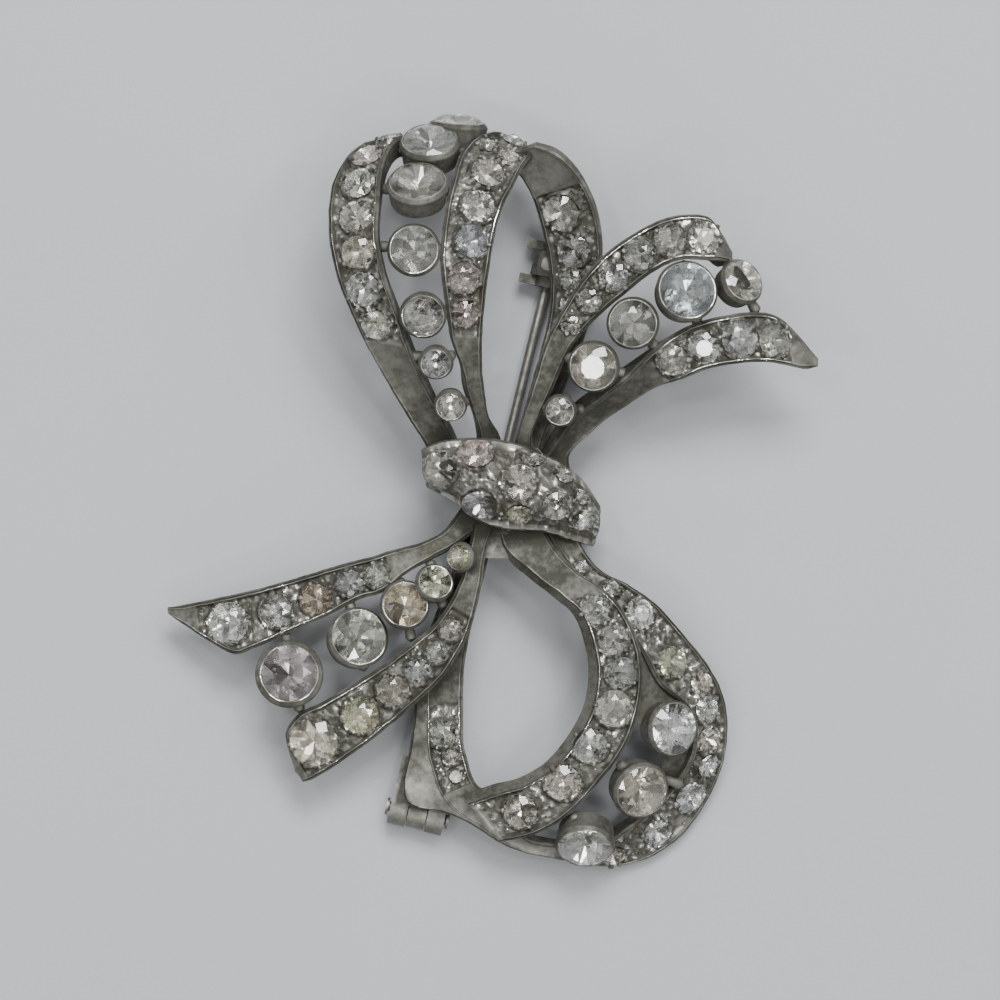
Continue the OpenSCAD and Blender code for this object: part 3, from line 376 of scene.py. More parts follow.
# Stones whose tint shows plainly: piece, number in it, colour
SPECIAL = {
    ("upper_loop_left_stones", 5): (1, 0.88, 0.84), ("upper_loop_right_stones", 0): (1, 0.87, 0.82),
    ("upper_loop_right_stones", 1): (1, 0.88, 0.83), ("upper_loop_right_stones", 2): (0.9, 0.95, 1),
    ("upper_tail_stone_4", 0): (0.9, 0.97, 1), ("lower_tail_top_stones", 2): (1, 0.86, 0.68),
    ("lower_tail_low_stones", 4): (1, 0.98, 0.72), ("lower_tail_stone_1", 0): (1, 0.93, 0.94),
    ("lower_tail_stone_2", 0): (0.95, 1, 0.88), ("lower_tail_stone_3", 0): (1, 0.87, 0.68),
    ("lower_tail_stone_4", 0): (0.82, 0.86, 0.66), ("lower_tail_stone_5", 0): (0.72, 0.7, 0.5),
    ("lower_loop_outer_stones", 3): (0.97, 1, 0.78), ("knot_stones", 1): (1, 0.86, 0.8),
    ("knot_stones", 3): (0.92, 0.95, 1), ("knot_stones", 8): (0.95, 0.95, 0.74),
}

# Soft lights, all aimed at the brooch: name, place, width and height in metres, power, colour
LIGHTS = [
    ("key", (0.08, 0.42, 0.62), 0.34, 0.26, 8.1, (0.985, 0.99, 1)),
    ("window_left", (-0.55, 0.05, 0.5), 0.16, 0.34, 0.7, (0.97, 0.98, 1)),
    ("window_right", (0.5, 0.22, 0.55), 0.16, 0.3, 1.1, (1, 0.98, 0.95)),
    ("low_front", (0.1, -0.6, 0.35), 0.4, 0.12, 0.8, (1, 1, 1)),
]
# Small bright panes over the brooch that the facets mirror: x, y, width and height in metres
PANES = [
    (-0.17, 0.1, 0.045, 0.06), (0.22, 0.2, 0.05, 0.05), (0.06, -0.24, 0.06, 0.04), (-0.12, -0.14, 0.03, 0.05),
    (0.24, -0.06, 0.04, 0.06), (-0.05, 0.17, 0.04, 0.03), (-0.3, -0.1, 0.04, 0.07), (-0.02, -0.4, 0.06, 0.04),
    (0.13, 0.06, 0.04, 0.04), (-0.28, 0.3, 0.06, 0.05), (0.36, 0.04, 0.05, 0.06), (0.2, -0.3, 0.05, 0.05),
]
PANE_Z = 0.62
PANE_POWER = 170
PANE_TINT = (0.99, 1, 0.98)
# The room's dark and light sides
ROOM_DARK = (0.34, 0.33, 0.3, 1)
ROOM_LIGHT = (1.2, 1.16, 1.06, 1)
# Half the floor's width in metres, and its gap under the brooch
FLOOR_HALF = 1.5
FLOOR_GAP = 0.00002
# The camera: the point it looks down on in millimetres, sensor and lens
LOOK_AT = (0.68, -0.64)
SENSOR = 36
LENS = 199.3


# Property groups
class BroochMetal(bpy.types.PropertyGroup):
    """Sizes and colours of the cast metal."""
    rim_w: FloatProperty(
        name="Rim width", description="Width of the rim along each side of a channel, in millimetres",
        default=0.36, min=0.2, max=0.5)
    slope_w: FloatProperty(
        name="Slope width", description="Width of the dark slope outside a rim, in millimetres",
        default=0.16, min=0.0, max=0.2)
    floor_depth: FloatProperty(
        name="Ground depth", description="Depth of the metal between the stones, in millimetres",
        default=0.42, min=0.1, max=0.6)
    cast_rough: FloatProperty(
        name="Cast unevenness", description="Height of the casting's unevenness, in millimetres",
        default=0.04, min=0.0, max=0.1)
    claw_r: FloatProperty(
        name="Claw radius", description="Radius of the claws round the small stones, in millimetres",
        default=0.2, min=0.1, max=0.3)
    silver: FloatVectorProperty(
        name="Metal", description="Colour of the worn plate", subtype="COLOR", default=(0.31, 0.306, 0.28))
    patina: FloatVectorProperty(
        name="Patina", description="Colour of the tarnish in the recesses", subtype="COLOR",
        default=(0.055, 0.055, 0.045))
    brown: FloatVectorProperty(
        name="Brown tarnish", description="Colour of the browner patches", subtype="COLOR",
        default=(0.16, 0.135, 0.09))
    # Near-white worn edges: partly real wear and partly a painted highlight
    bright: FloatVectorProperty(
        name="Worn edge", description="Colour of the polished edges", subtype="COLOR",
        default=(0.86, 0.85, 0.82))


class BroochStones(bpy.types.PropertyGroup):
    """Cut and colours of the stones."""
    table_share: FloatProperty(
        name="Table", description="Width of the table over the stone's width", default=0.52, min=0.4, max=0.7)
    crown_share: FloatProperty(
        name="Crown", description="Height of the crown over the stone's radius",
        default=0.3, min=0.15, max=0.45)
    cone_share: FloatProperty(
        name="Back", description="Depth of the back over the stone's radius", default=0.6, min=0.3, max=0.8)
    glass: FloatVectorProperty(
        name="Glass", description="Colour of the glass", subtype="COLOR", default=(0.985, 0.99, 0.985))
    bare: FloatVectorProperty(
        name="Bare back", description="Colour of a back that has lost its foil", subtype="COLOR",
        default=(0.13, 0.115, 0.08))
    seed: IntProperty(
        name="Seed", description="Seed of the turn, tint and foil wear of each stone", default=11)


class BroochStage(bpy.types.PropertyGroup):
    """The floor, the lights and the camera."""
    floor: FloatVectorProperty(
        name="Floor", description="Colour of the floor", subtype="COLOR", default=(0.314, 0.325, 0.347))
    camera_height: FloatProperty(
        name="Camera height", description="Height of the camera over the floor",
        default=0.45, min=0.1, unit="LENGTH")
    key: FloatProperty(name="Lights", description="Power of all the soft lights", default=1.0, min=0.0)
    room: FloatProperty(
        name="Room", description="Brightness of the pale room round the brooch", default=0.28, min=0.0)


class BroochSettings(bpy.types.PropertyGroup):
    """All the brooch's settings."""
    metal: PointerProperty(type=BroochMetal, name="Metal", description="Sizes and colours of the cast metal")
    stones: PointerProperty(type=BroochStones, name="Stones", description="Cut and colours of the stones")
    stage: PointerProperty(type=BroochStage, name="Stage", description="The floor, the lights and the camera")


def settings():
    return bpy.context.scene.brooch


# Places on a ribbon
def row_at(table, s):
    """A table's six numbers at any place s along its rows, on a smooth curve through them."""
    last = len(table) - 1
    i = min(int(math.floor(s)), last - 1)
    t = s - i
    near = [table[max(0, min(last, i + k))] for k in (-1, 0, 1, 2)]
    return [
        0.5 * (2 * b + (c - a) * t + (2 * a - 5 * b + 4 * c - d) * t * t + (3 * b - a - 3 * c + d) * t ** 3)
        for a, b, c, d in zip(*near)
    ]


def middle(table, s):
    """The point halfway between the two edges."""
    r = row_at(table, s)
    return (Vector(r[:3]) + Vector(r[3:])) / 2


def across(table, s):
    """From the middle to the right edge."""
    r = row_at(table, s)
    return (Vector(r[3:]) - Vector(r[:3])) / 2


def ahead(table, s):
    """The way the ribbon runs."""
    return (middle(table, min(len(table) - 1, s + 0.1)) - middle(table, max(0, s - 0.1))).normalized()


def face_up(table, s):
    """The way the ribbon's face looks."""
    return across(table, s).cross(ahead(table, s)).normalized()


def on_ribbon(table, s, v, h, crown=0.0):
    """A point at place s along a ribbon, v across it from -1 to 1, and h above its arched face."""
    return middle(table, s) + across(table, s) * v + face_up(table, s) * (h + crown * (1 - v * v))


def lean_of(table, s, v, crown):
    """The way an arched face looks at a place."""
    wide = across(table, s)
    return (face_up(table, s) + wide.normalized() * (2 * crown * v / wide.length)).normalized()


def knot_crown(s):
    """Rise of the knot's arch, lower towards both ends."""
    return KNOT_RISE * min(1.0, 0.45 + 0.5 * min(s, len(KNOT) - 1 - s))


def smooth(a, b, x):
    """0 below a, 1 above b, and a smooth rise in between."""
    t = max(0.0, min(1.0, (x - a) / (b - a)))
    return t * t * (3 - 2 * t)


# Noise
def grain(p, scale, seed=0.0):
    """Even noise from -1 to 1 at a point in millimetres."""
    return noise.noise(Vector((p[0] * scale + seed, p[1] * scale - seed, p[2] * scale + 2 * seed)))


def rolled(height, p, waves):
    """A height with waves of noise added."""
    for rise, scale, seed in waves:
        height += rise * grain(p, scale, seed)
    return height


def push(p, scale, seeds):
    """Noise that moves a point of the skin three ways."""
    return Vector([grain(p, scale, seed) for seed in seeds])


def lump_at(p):
    """1 on the worn lumps of the ground between the stones, and 0 beside them; the lumps rise, and their high
    wear paints them bright, partly as real wear and partly as painted glints.
    """
    return smooth(0.0, 0.3, grain(p, *LUMPS))


# Castings
class Casting:
    """Collects the vertices, faces and edge wear of one piece, in millimetres."""

    def __init__(self):
        self.points, self.faces, self.wear = [], [], []

    def add(self, points, faces, wear):
        first = len(self.points)
        self.points.extend(points)
        self.faces.extend([[first + i for i in f] for f in faces])
        self.wear.extend(wear)

    def bead(self, at, r, tall, up, wear, rings=5, sides=8):
        """An uneven grain of metal standing along up, its height over its width given."""
        turn = up.to_track_quat("Z", "Y")
        points, faces = [], []
        for i in range(1, rings):
            a = math.pi * i / rings
            for j in range(sides):
                b = 2 * math.pi * j / sides
                way = Vector((math.sin(a) * math.cos(b), math.sin(a) * math.sin(b), math.cos(a) * tall))
                q = turn @ way * r
                points.append(at + q * (1 + 0.45 * grain(at + q, *BEAD_FORM)))
        tip = turn @ Vector((0, 0, r * tall))
        points += [at + tip, at - tip]
        top, low = len(points) - 2, len(points) - 1
        for j in range(sides):
            k = (j + 1) % sides
            faces.append([top, j, k])
            faces.append([low, (rings - 2) * sides + k, (rings - 2) * sides + j])
            for i in range(rings - 2):
                faces.append([i * sides + j, (i + 1) * sides + j, (i + 1) * sides + k, i * sides + k])
        self.add(points, faces, [wear] * len(points))

    def rings(self, rings, wear):
        """Joins rings of equal length into a skin, with both ends capped."""
        n = len(rings[0])
        faces = []
        for k in range(len(rings) - 1):
            for j in range(n):
                m = (j + 1) % n
                faces.append([k * n + j, k * n + m, (k + 1) * n + m, (k + 1) * n + j])
        faces.append(list(range(n))[::-1])
        faces.append([(len(rings) - 1) * n + j for j in range(n)])
        self.add([p for ring in rings for p in ring], faces, wear)

    def make(self, name):
        """Makes the piece, in metres, smooth but for its sharp edges, and puts it on the bow."""
        mesh = bpy.data.meshes.new(name)
        mesh.from_pydata([p * MM for p in self.points], [], self.faces)
        worn = mesh.attributes.new("wear", "FLOAT", "POINT")
        worn.data.foreach_set("value", self.wear)
        mesh.validate()
        mesh.polygons.foreach_set("use_smooth", [True] * len(mesh.polygons))
        mesh.set_sharp_from_angle(angle=math.radians(SHARP))
        mesh.materials.append(shared("cast_metal", lambda: cast_metal("cast_metal", settings().metal)))
        dress(name, mesh, "bow_frame")


def dress(name, mesh, node):
    """Puts a piece in the scene, on the bow and in the place of a node."""
    piece = bpy.data.objects.new(name, mesh)
    bpy.context.scene.collection.objects.link(piece)
    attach(piece, "bow")
    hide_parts(node)


# Seats and claws
def seats_of(name):
    """The small stones of a ribbon or of the knot: middle of the girdle, axis, radius."""
    in_knot = name == "knot"
    table, drop = (KNOT, KNOT_GIRDLE_DROP) if in_knot else (RIBBONS[name], GIRDLE_DROP)
    seats = []
    for s, v, r in SMALL_STONES[name]:
        crown = knot_crown(s) if in_knot else 0.0
        up = lean_of(table, s, v, crown) if in_knot else face_up(table, s)
        seats.append((on_ribbon(table, s, v, -drop, crown), up, r))
    return seats


def seat_drop(p, seats, ground):
    """How deep the metal lies at a point: in a seat's cone, on its collar, or at the ground's depth."""
    depth = ground
    for at, up, r in seats:
        away = p - at
        d = (away - up * away.dot(up)).length
        if d < r + SEAT_PLAY:
            return SEAT_DEPTH + SEAT_SLOPE * max(0.0, r - d)
        if d < r + COLLAR_AT + COLLAR_HALF:
            off = abs(d - r - COLLAR_AT) / COLLAR_HALF
            depth = min(depth, COLLAR_DEPTH + (ground - COLLAR_DEPTH) * min(1.0, off * off))
    return depth


def claw_places(seats, way_at, claw_r, inside, rnd):
    """Claws round the stones, where one claw holds two stones that lie close together."""
    claws = []
    for at, up, r in seats:
        first = way_at(at)
        for k in range(CLAWS_A_STONE):
            turn = math.pi * (0.25 + 2 * k / CLAWS_A_STONE) + rnd.uniform(-CLAW_TURN, CLAW_TURN)
            way = Matrix.Rotation(turn, 3, up) @ first
            p = at + way * (r + 0.35 * claw_r)
            near_stone = any((p - q).length < reach - 0.1 for q, _, reach in seats if q != at)
            near_claw = any((p - q).length < 1.2 * claw_r for q, _, _ in claws)
            if inside(p) and not near_stone and not near_claw:
                lean = (up - way * rnd.uniform(*CLAW_LEAN)).normalized()
                claws.append((p, lean, claw_r * rnd.uniform(*CLAW_SIZE)))
    return claws


def add_claws(casting, claws, rnd):
    for p, up, r in claws:
        casting.bead(p + up * 0.03, r, rnd.uniform(*CLAW_TALL), up, rnd.uniform(*CLAW_WEAR))


def add_grains(casting, place, count, seats, ground, rnd):
    """Small lumps of metal strewn over the ground between the stones."""
    for _ in range(count):
        p, up = place(rnd)
        if all((p - at).length > r + 0.06 for at, _, r in seats):
            r, tall, wear = rnd.uniform(*GRAIN_R), rnd.uniform(*GRAIN_TALL), GRAIN_WEAR * rnd.random() ** 1.5
            casting.bead(p - up * (ground + 0.02), r, tall, up, wear, rings=4, sides=6)


# Ribbons
def rim_side(half, rim, shelf, shelf_wear, set_in, depth, open_share, hollow):
    """One side of a section from the wall's foot to the channel: offset from the middle, height, wear."""
    drop = SLOPE_FALL * set_in
    points = [(-half * (1 - WALL_SLANT * t), -drop - (depth - drop) * t, w) for t, w in WALL]
    if set_in > 0:
        points += [(-half + set_in * q, -drop * (1 - q) - SLOPE_SINK, SLOPE_WEAR) for q in SLOPE_STEPS]
    half -= set_in
    for share, h, w in RIM:
        past_shelf = share >= SHELF_FROM
        if share == SHELF_FROM and shelf > 0:
            points += [(-half + SHELF_START * rim + shelf * q, SHELF_H, shelf_wear) for q in SHELF_STEPS]
        x = -half + rim * share + (shelf if past_shelf else 0.0)
        plain = -hollow * (1 - (x / half) ** 2) + (h if share < PLAIN_EDGE else 0.0)
        points.append((x, h * open_share + plain * (1 - open_share), w * (0.5 + 0.5 * open_share)))
    return points


def ribbon_ring(name, s, seats, metal):
    """One section of a ribbon, round from the left wall's foot over the face to the right wall's foot."""
    table = RIBBONS[name]
    start, stop, depth = CHANNELS[name]
    wide = across(table, s)
    half = wide.length
    side, up, mid = wide / half, face_up(table, s), middle(table, s)
    whole = min(metal.rim_w, RIM_MOST * half)
    slope = metal.slope_w * whole / metal.rim_w
    rim = whole - slope
    set_in = slope + min(SET_IN.get(name, 0.0), SET_IN_MOST * half) * smooth(*SET_IN_ROWS, s)
    shelf = max(SHELF_LEAST, 2 * half - 2 * whole - CHANNEL_W[name]) if name in CHANNEL_W else 0.0
    shelf_wear = SHELF_WEAR[0] + (SHELF_WEAR[1] - SHELF_WEAR[0]) * smooth(*SHELF_WORN_ROWS, s)
    open_share = smooth(start - END_RAMP, start + END_RAMP, s)
    open_share *= 1 - smooth(stop - END_RAMP, stop + END_RAMP, s)
    hollow = PLAIN_HOLLOW * smooth(*HOLLOW_FROM, half)
    plain_wear = PLAIN_WEAR.get(name, PLAIN_WEAR_ELSEWHERE)[int(s > 0.5 * (start + stop))]

    left = rim_side(half, rim, 0.0, 0.0, slope, depth, open_share, hollow)
    right = rim_side(half, rim, shelf, shelf_wear, set_in, depth, open_share, hollow)
    ground = []
    low_x, high_x = whole - half, half - rim - shelf - set_in
    for k in range(1, GROUND_STEPS):
        x = low_x + (high_x - low_x) * k / GROUND_STEPS
        h, lump = -hollow * (1 - (x / half) ** 2), 0.0
        if open_share > 0:
            p = mid + side * x
            lump = lump_at(p)
            low = rolled(seat_drop(p, seats, metal.floor_depth), p, GROUND_WAVES)
            h = h * (1 - open_share) - (low - LUMP_RISE * lump) * open_share
        # The lumps' high wear paints them bright: real wear and painted glints
        ground.append((x, h, plain_wear * (1 - open_share) + (GROUND_WEAR + LUMP_WEAR_AND_GLINT * lump) * open_share))
    under = [(-u * half, -depth, 0.1) for u in UNDER]

    lost = [(on_ribbon(table, place, v, -0.1), r) for place, v, r in EMPTY_SEATS.get(name, [])]
    ring, wear = [], []
    for x, h, w in left + ground + [(-x, h, w) for x, h, w in right[::-1]] + under:
        p = mid + side * x + up * h
        w *= 0.35 + 0.65 * smooth(-0.25, 0.2, grain(p, *WORN_PLACES))
        if any((p - at).length < r for at, r in lost):
            h, w = -LOST_DEPTH, LOST_WEAR
            p = mid + side * x + up * h
        rough = metal.cast_rough * (1.0 if h > -0.3 else 0.5)
        ring.append(p + (push(p, *LONG_WAVES) * rough + push(p, *SHORT_WAVES) * rough * 0.5))
        wear.append(w)
    return ring, wear


def ribbon_stops(name):
    """Places along a ribbon that get a section, closer together at the channel's ends."""
    start, stop, _ = CHANNELS[name]
    last = len(RIBBONS[name]) - 1
    stops = [k / SECTIONS for k in range(SECTIONS * last + 1)]
    for end in (start, stop):
        stops = [s for s in stops if abs(s - end) > 0.1] + [end + d for d in END_STEPS]
    return sorted(s for s in stops if 0 <= s <= last)


def ribbon_claws(name, seats, metal, rnd):
    table = RIBBONS[name]
    places = [on_ribbon(table, k / 10, 0, 0) for k in range(10 * (len(table) - 1) + 1)]

    def nearest(p):
        return min(range(len(places)), key=lambda k: (places[k] - p).length) / 10

    def inside(p):
        s = nearest(p)
        wide = across(table, s)
        return abs((p - middle(table, s)).dot(wide.normalized())) < wide.length - 0.5 * metal.rim_w

    return claw_places(seats, lambda at: ahead(table, nearest(at)), metal.claw_r, inside, rnd)


def make_ribbon(name, metal, rnd):
    """One cast ribbon with its rims, seats, claws and grains."""
    casting = Casting()
    seats = seats_of(name)
    sections = [ribbon_ring(name, s, seats, metal) for s in ribbon_stops(name)]
    casting.rings([ring for ring, _ in sections], [w for _, wear in sections for w in wear])
    add_claws(casting, ribbon_claws(name, seats, metal, rnd), rnd)
    table = RIBBONS[name]
    start, stop, _ = CHANNELS[name]

    def place(rnd):
        s, v = rnd.uniform(start + 0.1, stop - 0.1), rnd.uniform(-1, 1)
        half = across(table, s).length
        low, high = metal.rim_w - half, half - metal.rim_w - SET_IN.get(name, 0.0)
        high = min(high, low + CHANNEL_W.get(name, high - low))
        return on_ribbon(table, s, ((low + high) + v * (high - low - 0.1)) / (2 * half), 0), face_up(table, s)

    add_grains(casting, place, int(GRAINS * (stop - start)), seats, metal.floor_depth, rnd)
    casting.make(name + "_ribbon")


# Knot
def knot_ring(s, seats, metal):
    """One section of the knot, from its left edge over the arch, down the right wall and back underneath."""
    last = len(KNOT) - 1
    q = max(0.0, 1 - min(s, last - s) / 0.45)
    round_off = 1 - math.sqrt(max(0.0, 1 - q * q))
    crown = knot_crown(s)
    ring, wear = [], []
    for k in range(KNOT_STEPS + 1):
        v = (2 * k / KNOT_STEPS - 1) * (1 - 0.05 * round_off)
        edge = smooth(0.9, 0.96, abs(v))
        flat = on_ribbon(KNOT, s, v, 0, crown)
        worn = lump_at(flat) * (1 - edge)
        low = (seat_drop(flat, seats, metal.floor_depth) - LUMP_RISE * worn) * (1 - edge)
        p = flat + lean_of(KNOT, s, v, crown) * (rolled(0.0, flat, KNOT_WAVES) - low)
        p -= face_up(KNOT, s) * (0.75 * round_off + 0.3 * smooth(0.97, 1.0, abs(v)))
        ring.append(p + push(p, *KNOT_SHORT_WAVES) * metal.cast_rough * 0.6)
        # The lumps' high wear paints them bright: real wear and painted glints
        wear.append(GROUND_WEAR + KNOT_EDGE_WEAR * edge + KNOT_LUMP_WEAR_AND_GLINT * worn)
    right, left = on_ribbon(KNOT, s, 0.8, 0), on_ribbon(KNOT, s, -0.8, 0)
    right.z = left.z = KNOT_BASE
    ring += [ring[KNOT_STEPS].lerp(right, t) for t in KNOT_WALL_STEPS]
    ring += [right.lerp(left, t) for t in KNOT_UNDER_STEPS]
    ring += [ring[0].lerp(left, t) for t in reversed(KNOT_WALL_STEPS)]
    wear += [0.2] * len(KNOT_WALL_STEPS) + [0.1] * len(KNOT_UNDER_STEPS) + [0.2] * len(KNOT_WALL_STEPS)
    return ring, wear


def make_knot(metal, rnd):
    """The arched knot with its seats, claws and grains."""
    casting = Casting()
    seats = seats_of("knot")
    last = len(KNOT) - 1
    sections = [knot_ring(k / SECTIONS, seats, metal) for k in range(SECTIONS * last + 1)]
    casting.rings([ring for ring, _ in sections], [w for _, wear in sections for w in wear])
    skin = [on_ribbon(KNOT, i / 10, v / 10, 0, knot_crown(i / 10))
            for i in range(5, 10 * last - 4) for v in range(-9, 10)]

    def inside(p):
        return any((p - q).length < 0.35 for q in skin)

    def place(rnd):
        s, v = rnd.uniform(0.5, last - 0.5), rnd.uniform(-0.88, 0.88)
        crown = knot_crown(s)
        return on_ribbon(KNOT, s, v, 0, crown), lean_of(KNOT, s, v, crown)

    claws = claw_places(seats, lambda at: Vector((0, 1, 0)), metal.claw_r * KNOT_CLAW, inside, rnd)
    add_claws(casting, claws, rnd)
    add_grains(casting, place, KNOT_GRAINS, seats, metal.floor_depth, rnd)
    casting.make("knot_casting")


# Cups, bars, plates and pads
def cup_frame(cup):
    """Turns a point of a cup's own frame, its rim's middle at the origin, into its place."""
    _, x, y, z, lean, way, _, _ = cup
    aside = Matrix.Rotation(math.radians(way), 3, "Z")
    turn = aside @ Matrix.Rotation(math.radians(lean), 3, "Y") @ Matrix.Rotation(-math.radians(way), 3, "Z")
    at = Vector((x, y, z))
    return lambda p: at + turn @ p


def cup_profile(stone_r, cup_r, bore):
    """A cup turned on the lathe, from the foot over the dark rim and its inner line, bright as real wear and
    as a painted highlight, to the bore.
    """
    foot = -(bore + CUP_FLOOR)
    return [
        (0.01, foot, 0.1), (cup_r - 0.34, foot, 0.1), (cup_r - 0.24, foot + 0.08, 0.15),
        (cup_r - 0.14, 0.45 * foot, 0.15), (cup_r - 0.05, -0.5, 0.06), (cup_r - 0.01, -0.34, 0.06),
        (cup_r - 0.015, -0.26, 0.12), (cup_r - 0.05, -0.19, 0.06), (0.5 * (stone_r + cup_r), -0.09, 0.04),
        # The lip's wear of 1 paints a bright line, partly real wear and partly a painted highlight
        (stone_r + 0.09, -0.03, 0.05), (stone_r + 0.045, 0.04, 0.3), (stone_r + 0.015, 0.08, 1),
        (stone_r - 0.03, 0.075, 0.6), (stone_r - 0.04, 0.045, 0.1), (stone_r + 0.05, -0.01, 0.05),
        (stone_r + 0.04, -0.12, 0), (0.55 * stone_r, -0.3 * stone_r - 0.16, 0), (0.01, -bore, 0),
    ]


def make_cup(cup, stones, seed):
    """One stone cup, its wear broken by noise."""
    casting = Casting()
    place = cup_frame(cup)
    rings, wear = [], []
    for r, z, w in cup_profile(cup[6], cup[7], stones.cone_share * cup[6] + BORE_EXTRA):
        ring = []
        for j in range(CUP_SIDES):
            a = 2 * math.pi * j / CUP_SIDES
            p = Vector((r * math.cos(a), r * math.sin(a), z))
            k = 1 + CUP_WOBBLE * grain((math.cos(a), math.sin(a), z), 1.3, seed)
            ring.append(place(Vector((p.x * k, p.y * k, p.z))))
            wear.append(w * (0.3 + 0.7 * smooth(-0.3, 0.15, grain(p, 0.7, seed))))
        rings.append(ring)
    casting.rings(rings, wear)
    casting.make(cup[0].replace("_stone_", "_cup_"))


def add_bar(casting, a, b):
    """A cast bar between two points, a little thicker towards its round ends."""
    way = (b - a).normalized()
    turn = way.to_track_quat("Z", "Y")
    length = (b - a).length
    rings = []
    for k in range(BAR_STEPS + 1):
        t = k / BAR_STEPS
        end = min(t, 1 - t) * length
        r = BAR_R * (0.84 + 0.2 * (1 - smooth(0.2, 1.2, end)))
        if end < BAR_R:
            r *= math.sqrt(max(0.02, 1 - (1 - end / BAR_R) ** 2))
        ring = []
        for j in range(BAR_SIDES):
            q = 2 * math.pi * j / BAR_SIDES
            p = a + way * (t * length) + turn @ Vector((math.cos(q) * r, math.sin(q) * r, 0))
            ring.append(p + (p - a - way * (t * length)) * 0.12 * grain(p, 1.7, 4.0))
        rings.append(ring)
    casting.rings(rings, [BAR_WEAR] * (BAR_SIDES * len(rings)))


def add_plate(casting, table):
    """The cast plate between two edges, with its uneven top at the table's height."""
    rings = []
    for i in range(12 * (len(table) - 1) + 1):
        r = row_at(table, i / 12)
        left, right = Vector(r[:3]), Vector(r[3:])
        ring = [left.lerp(right, k / 14) for k in range(15)]
        for p in ring:
            p.z += rolled(0.0, p, PLATE_WAVES)
        under = Vector((0, 0, PLATE_T))
        rings.append(ring + [right - under, left - under])
    casting.rings(rings, [0.16] * (len(rings[0]) * len(rings)))


def pin_frame(p):
    """A point of the pin's frame, +Y along the pin from the hinge, in its place."""
    return Matrix.Rotation(math.radians(PIN_TURN), 3, "Z") @ Vector(p) + Vector(HINGE_AT)


def add_pad(casting, y0, y1, half_w, z0):
    """A cast pad: an upright block with cut corners that narrows towards the ribbon."""
    rings = []
    for dz, inset in PAD_STEPS:
        w, c = half_w * (1 - 0.3 * smooth(0.35, 0.9, dz)), PAD_CORNER
        lo, hi = y0 + inset, y1 - inset
        right = [(w - c, lo), (w, lo + c), (w, hi - c), (w - c, hi)]
        corners = right + [(-x, y) for x, y in right[::-1]]
        rings.append([pin_frame((x, y, z0 + dz)) for x, y in corners])
    casting.rings(rings, [0.2] * (8 * len(rings)))


# Stones
class Stones:
    """Collects cut stones of one piece: glass crowns over foiled backs."""

    def __init__(self, cut, rnd):
        self.cut, self.rnd = cut, rnd
        self.points, self.faces, self.kinds, self.tones = [], [], [], []

    def add(self, place, r, cone, tint):
        """A round stone: table, 8 star, 8 main and 16 girdle facets over 8 main and 16 lower foiled ones."""
        turn = self.rnd.uniform(0, 2 * math.pi)
        crown, table = self.cut.crown_share * r, self.cut.table_share
        step = math.pi / 8

        def at(radius, k, z):
            a = turn + step * k
            return place(Vector((radius * math.cos(a), radius * math.sin(a), z)))

        star_r = 0.5 * (1 + table) + STAR_EXTRA
        star_z = crown * (1 - star_r * math.cos(step)) / (1 - table)
        pit_z = -cone * (1 - PIT_SHARE * math.cos(step))
        rows = [
            [at(table * r, 2 * k + 1, crown) for k in range(8)],
            [at(star_r * r, 2 * k, star_z) for k in range(8)],
            [at(r, k, GIRDLE_SHARE * r) for k in range(16)],
            [at(r, k, -GIRDLE_SHARE * r) for k in range(16)],
            [at(PIT_SHARE * r, 2 * k, pit_z) for k in range(8)],
            [place(Vector((0, 0, -cone)))],
        ]
        starts = []
        for row in rows:
            starts.append(len(self.points))
            self.points.extend(row)
        top, star, high, low, pit, tip = starts
        faces = [([top + k for k in range(8)], 0)]
        for k in range(8):
            n = (k + 1) % 8
            even, odd, past = 2 * k, 2 * k + 1, (2 * k + 2) % 16
            faces += [
                ([top + k, star + n, top + n], 0),
                ([top + k, star + k, high + odd, star + n], 0),
                ([star + k, high + even, high + odd], 0),
                ([star + n, high + odd, high + past], 0),
                ([high + even, low + even, low + odd, high + odd], 0),
                ([high + odd, low + odd, low + past, high + past], 0),
                ([pit + k, low + odd, low + even], 1),
                ([pit + n, low + past, low + odd], 1),
                ([tip, pit + n, low + odd, pit + k], 1),
            ]
        worn = self.rnd.random()
        for face, foiled in faces:
            self.faces.append(face)
            self.kinds.append(foiled)
            self.tones.append(self.foil_tone(tint, worn) if foiled else [t ** 0.3 for t in tint] + [1.0])

    def foil_tone(self, tint, worn):
        """A foiled facet's colour and dullness: a random shade, partly painted shade for the stone's dark
        reflections, darker still where the foil is worn.
        """
        dull = self.rnd.choice(FOIL_DULL)
        shade = self.rnd.choice(FOIL_SHADES) * self.rnd.uniform(*FOIL_SPREAD)
        if self.rnd.random() < WORN_CHANCE * worn:
            shade *= WORN_SHADE
        return [shade * t ** 0.5 for t in tint] + [dull]

    def make(self, node):
        """Makes the stones one piece, in metres, in the place of their node."""
        name = node + "_cut"
        mesh = bpy.data.meshes.new(name)
        mesh.from_pydata([p * MM for p in self.points], [], self.faces)
        mesh.polygons.foreach_set("material_index", self.kinds)
        tone = mesh.color_attributes.new("tone", "FLOAT_COLOR", "CORNER")
        tone.data.foreach_set("color", [c for f, t in zip(self.faces, self.tones) for c in t * len(f)])
        mesh.materials.append(shared("stone_glass", lambda: stone_glass("stone_glass", self.cut)))
        mesh.materials.append(shared("stone_foil", lambda: stone_foil("stone_foil", self.cut)))
        dress(name, mesh, node)


def stand(at, up):
    """Stands a stone's own frame at a point, along its axis."""
    turn = Vector((0, 0, 1)).rotation_difference(up)
    return lambda p: at + turn @ p


# Materials
def shared(name, make):
    """One material for all the pieces that use it."""
    return bpy.data.materials.get(name) or make()


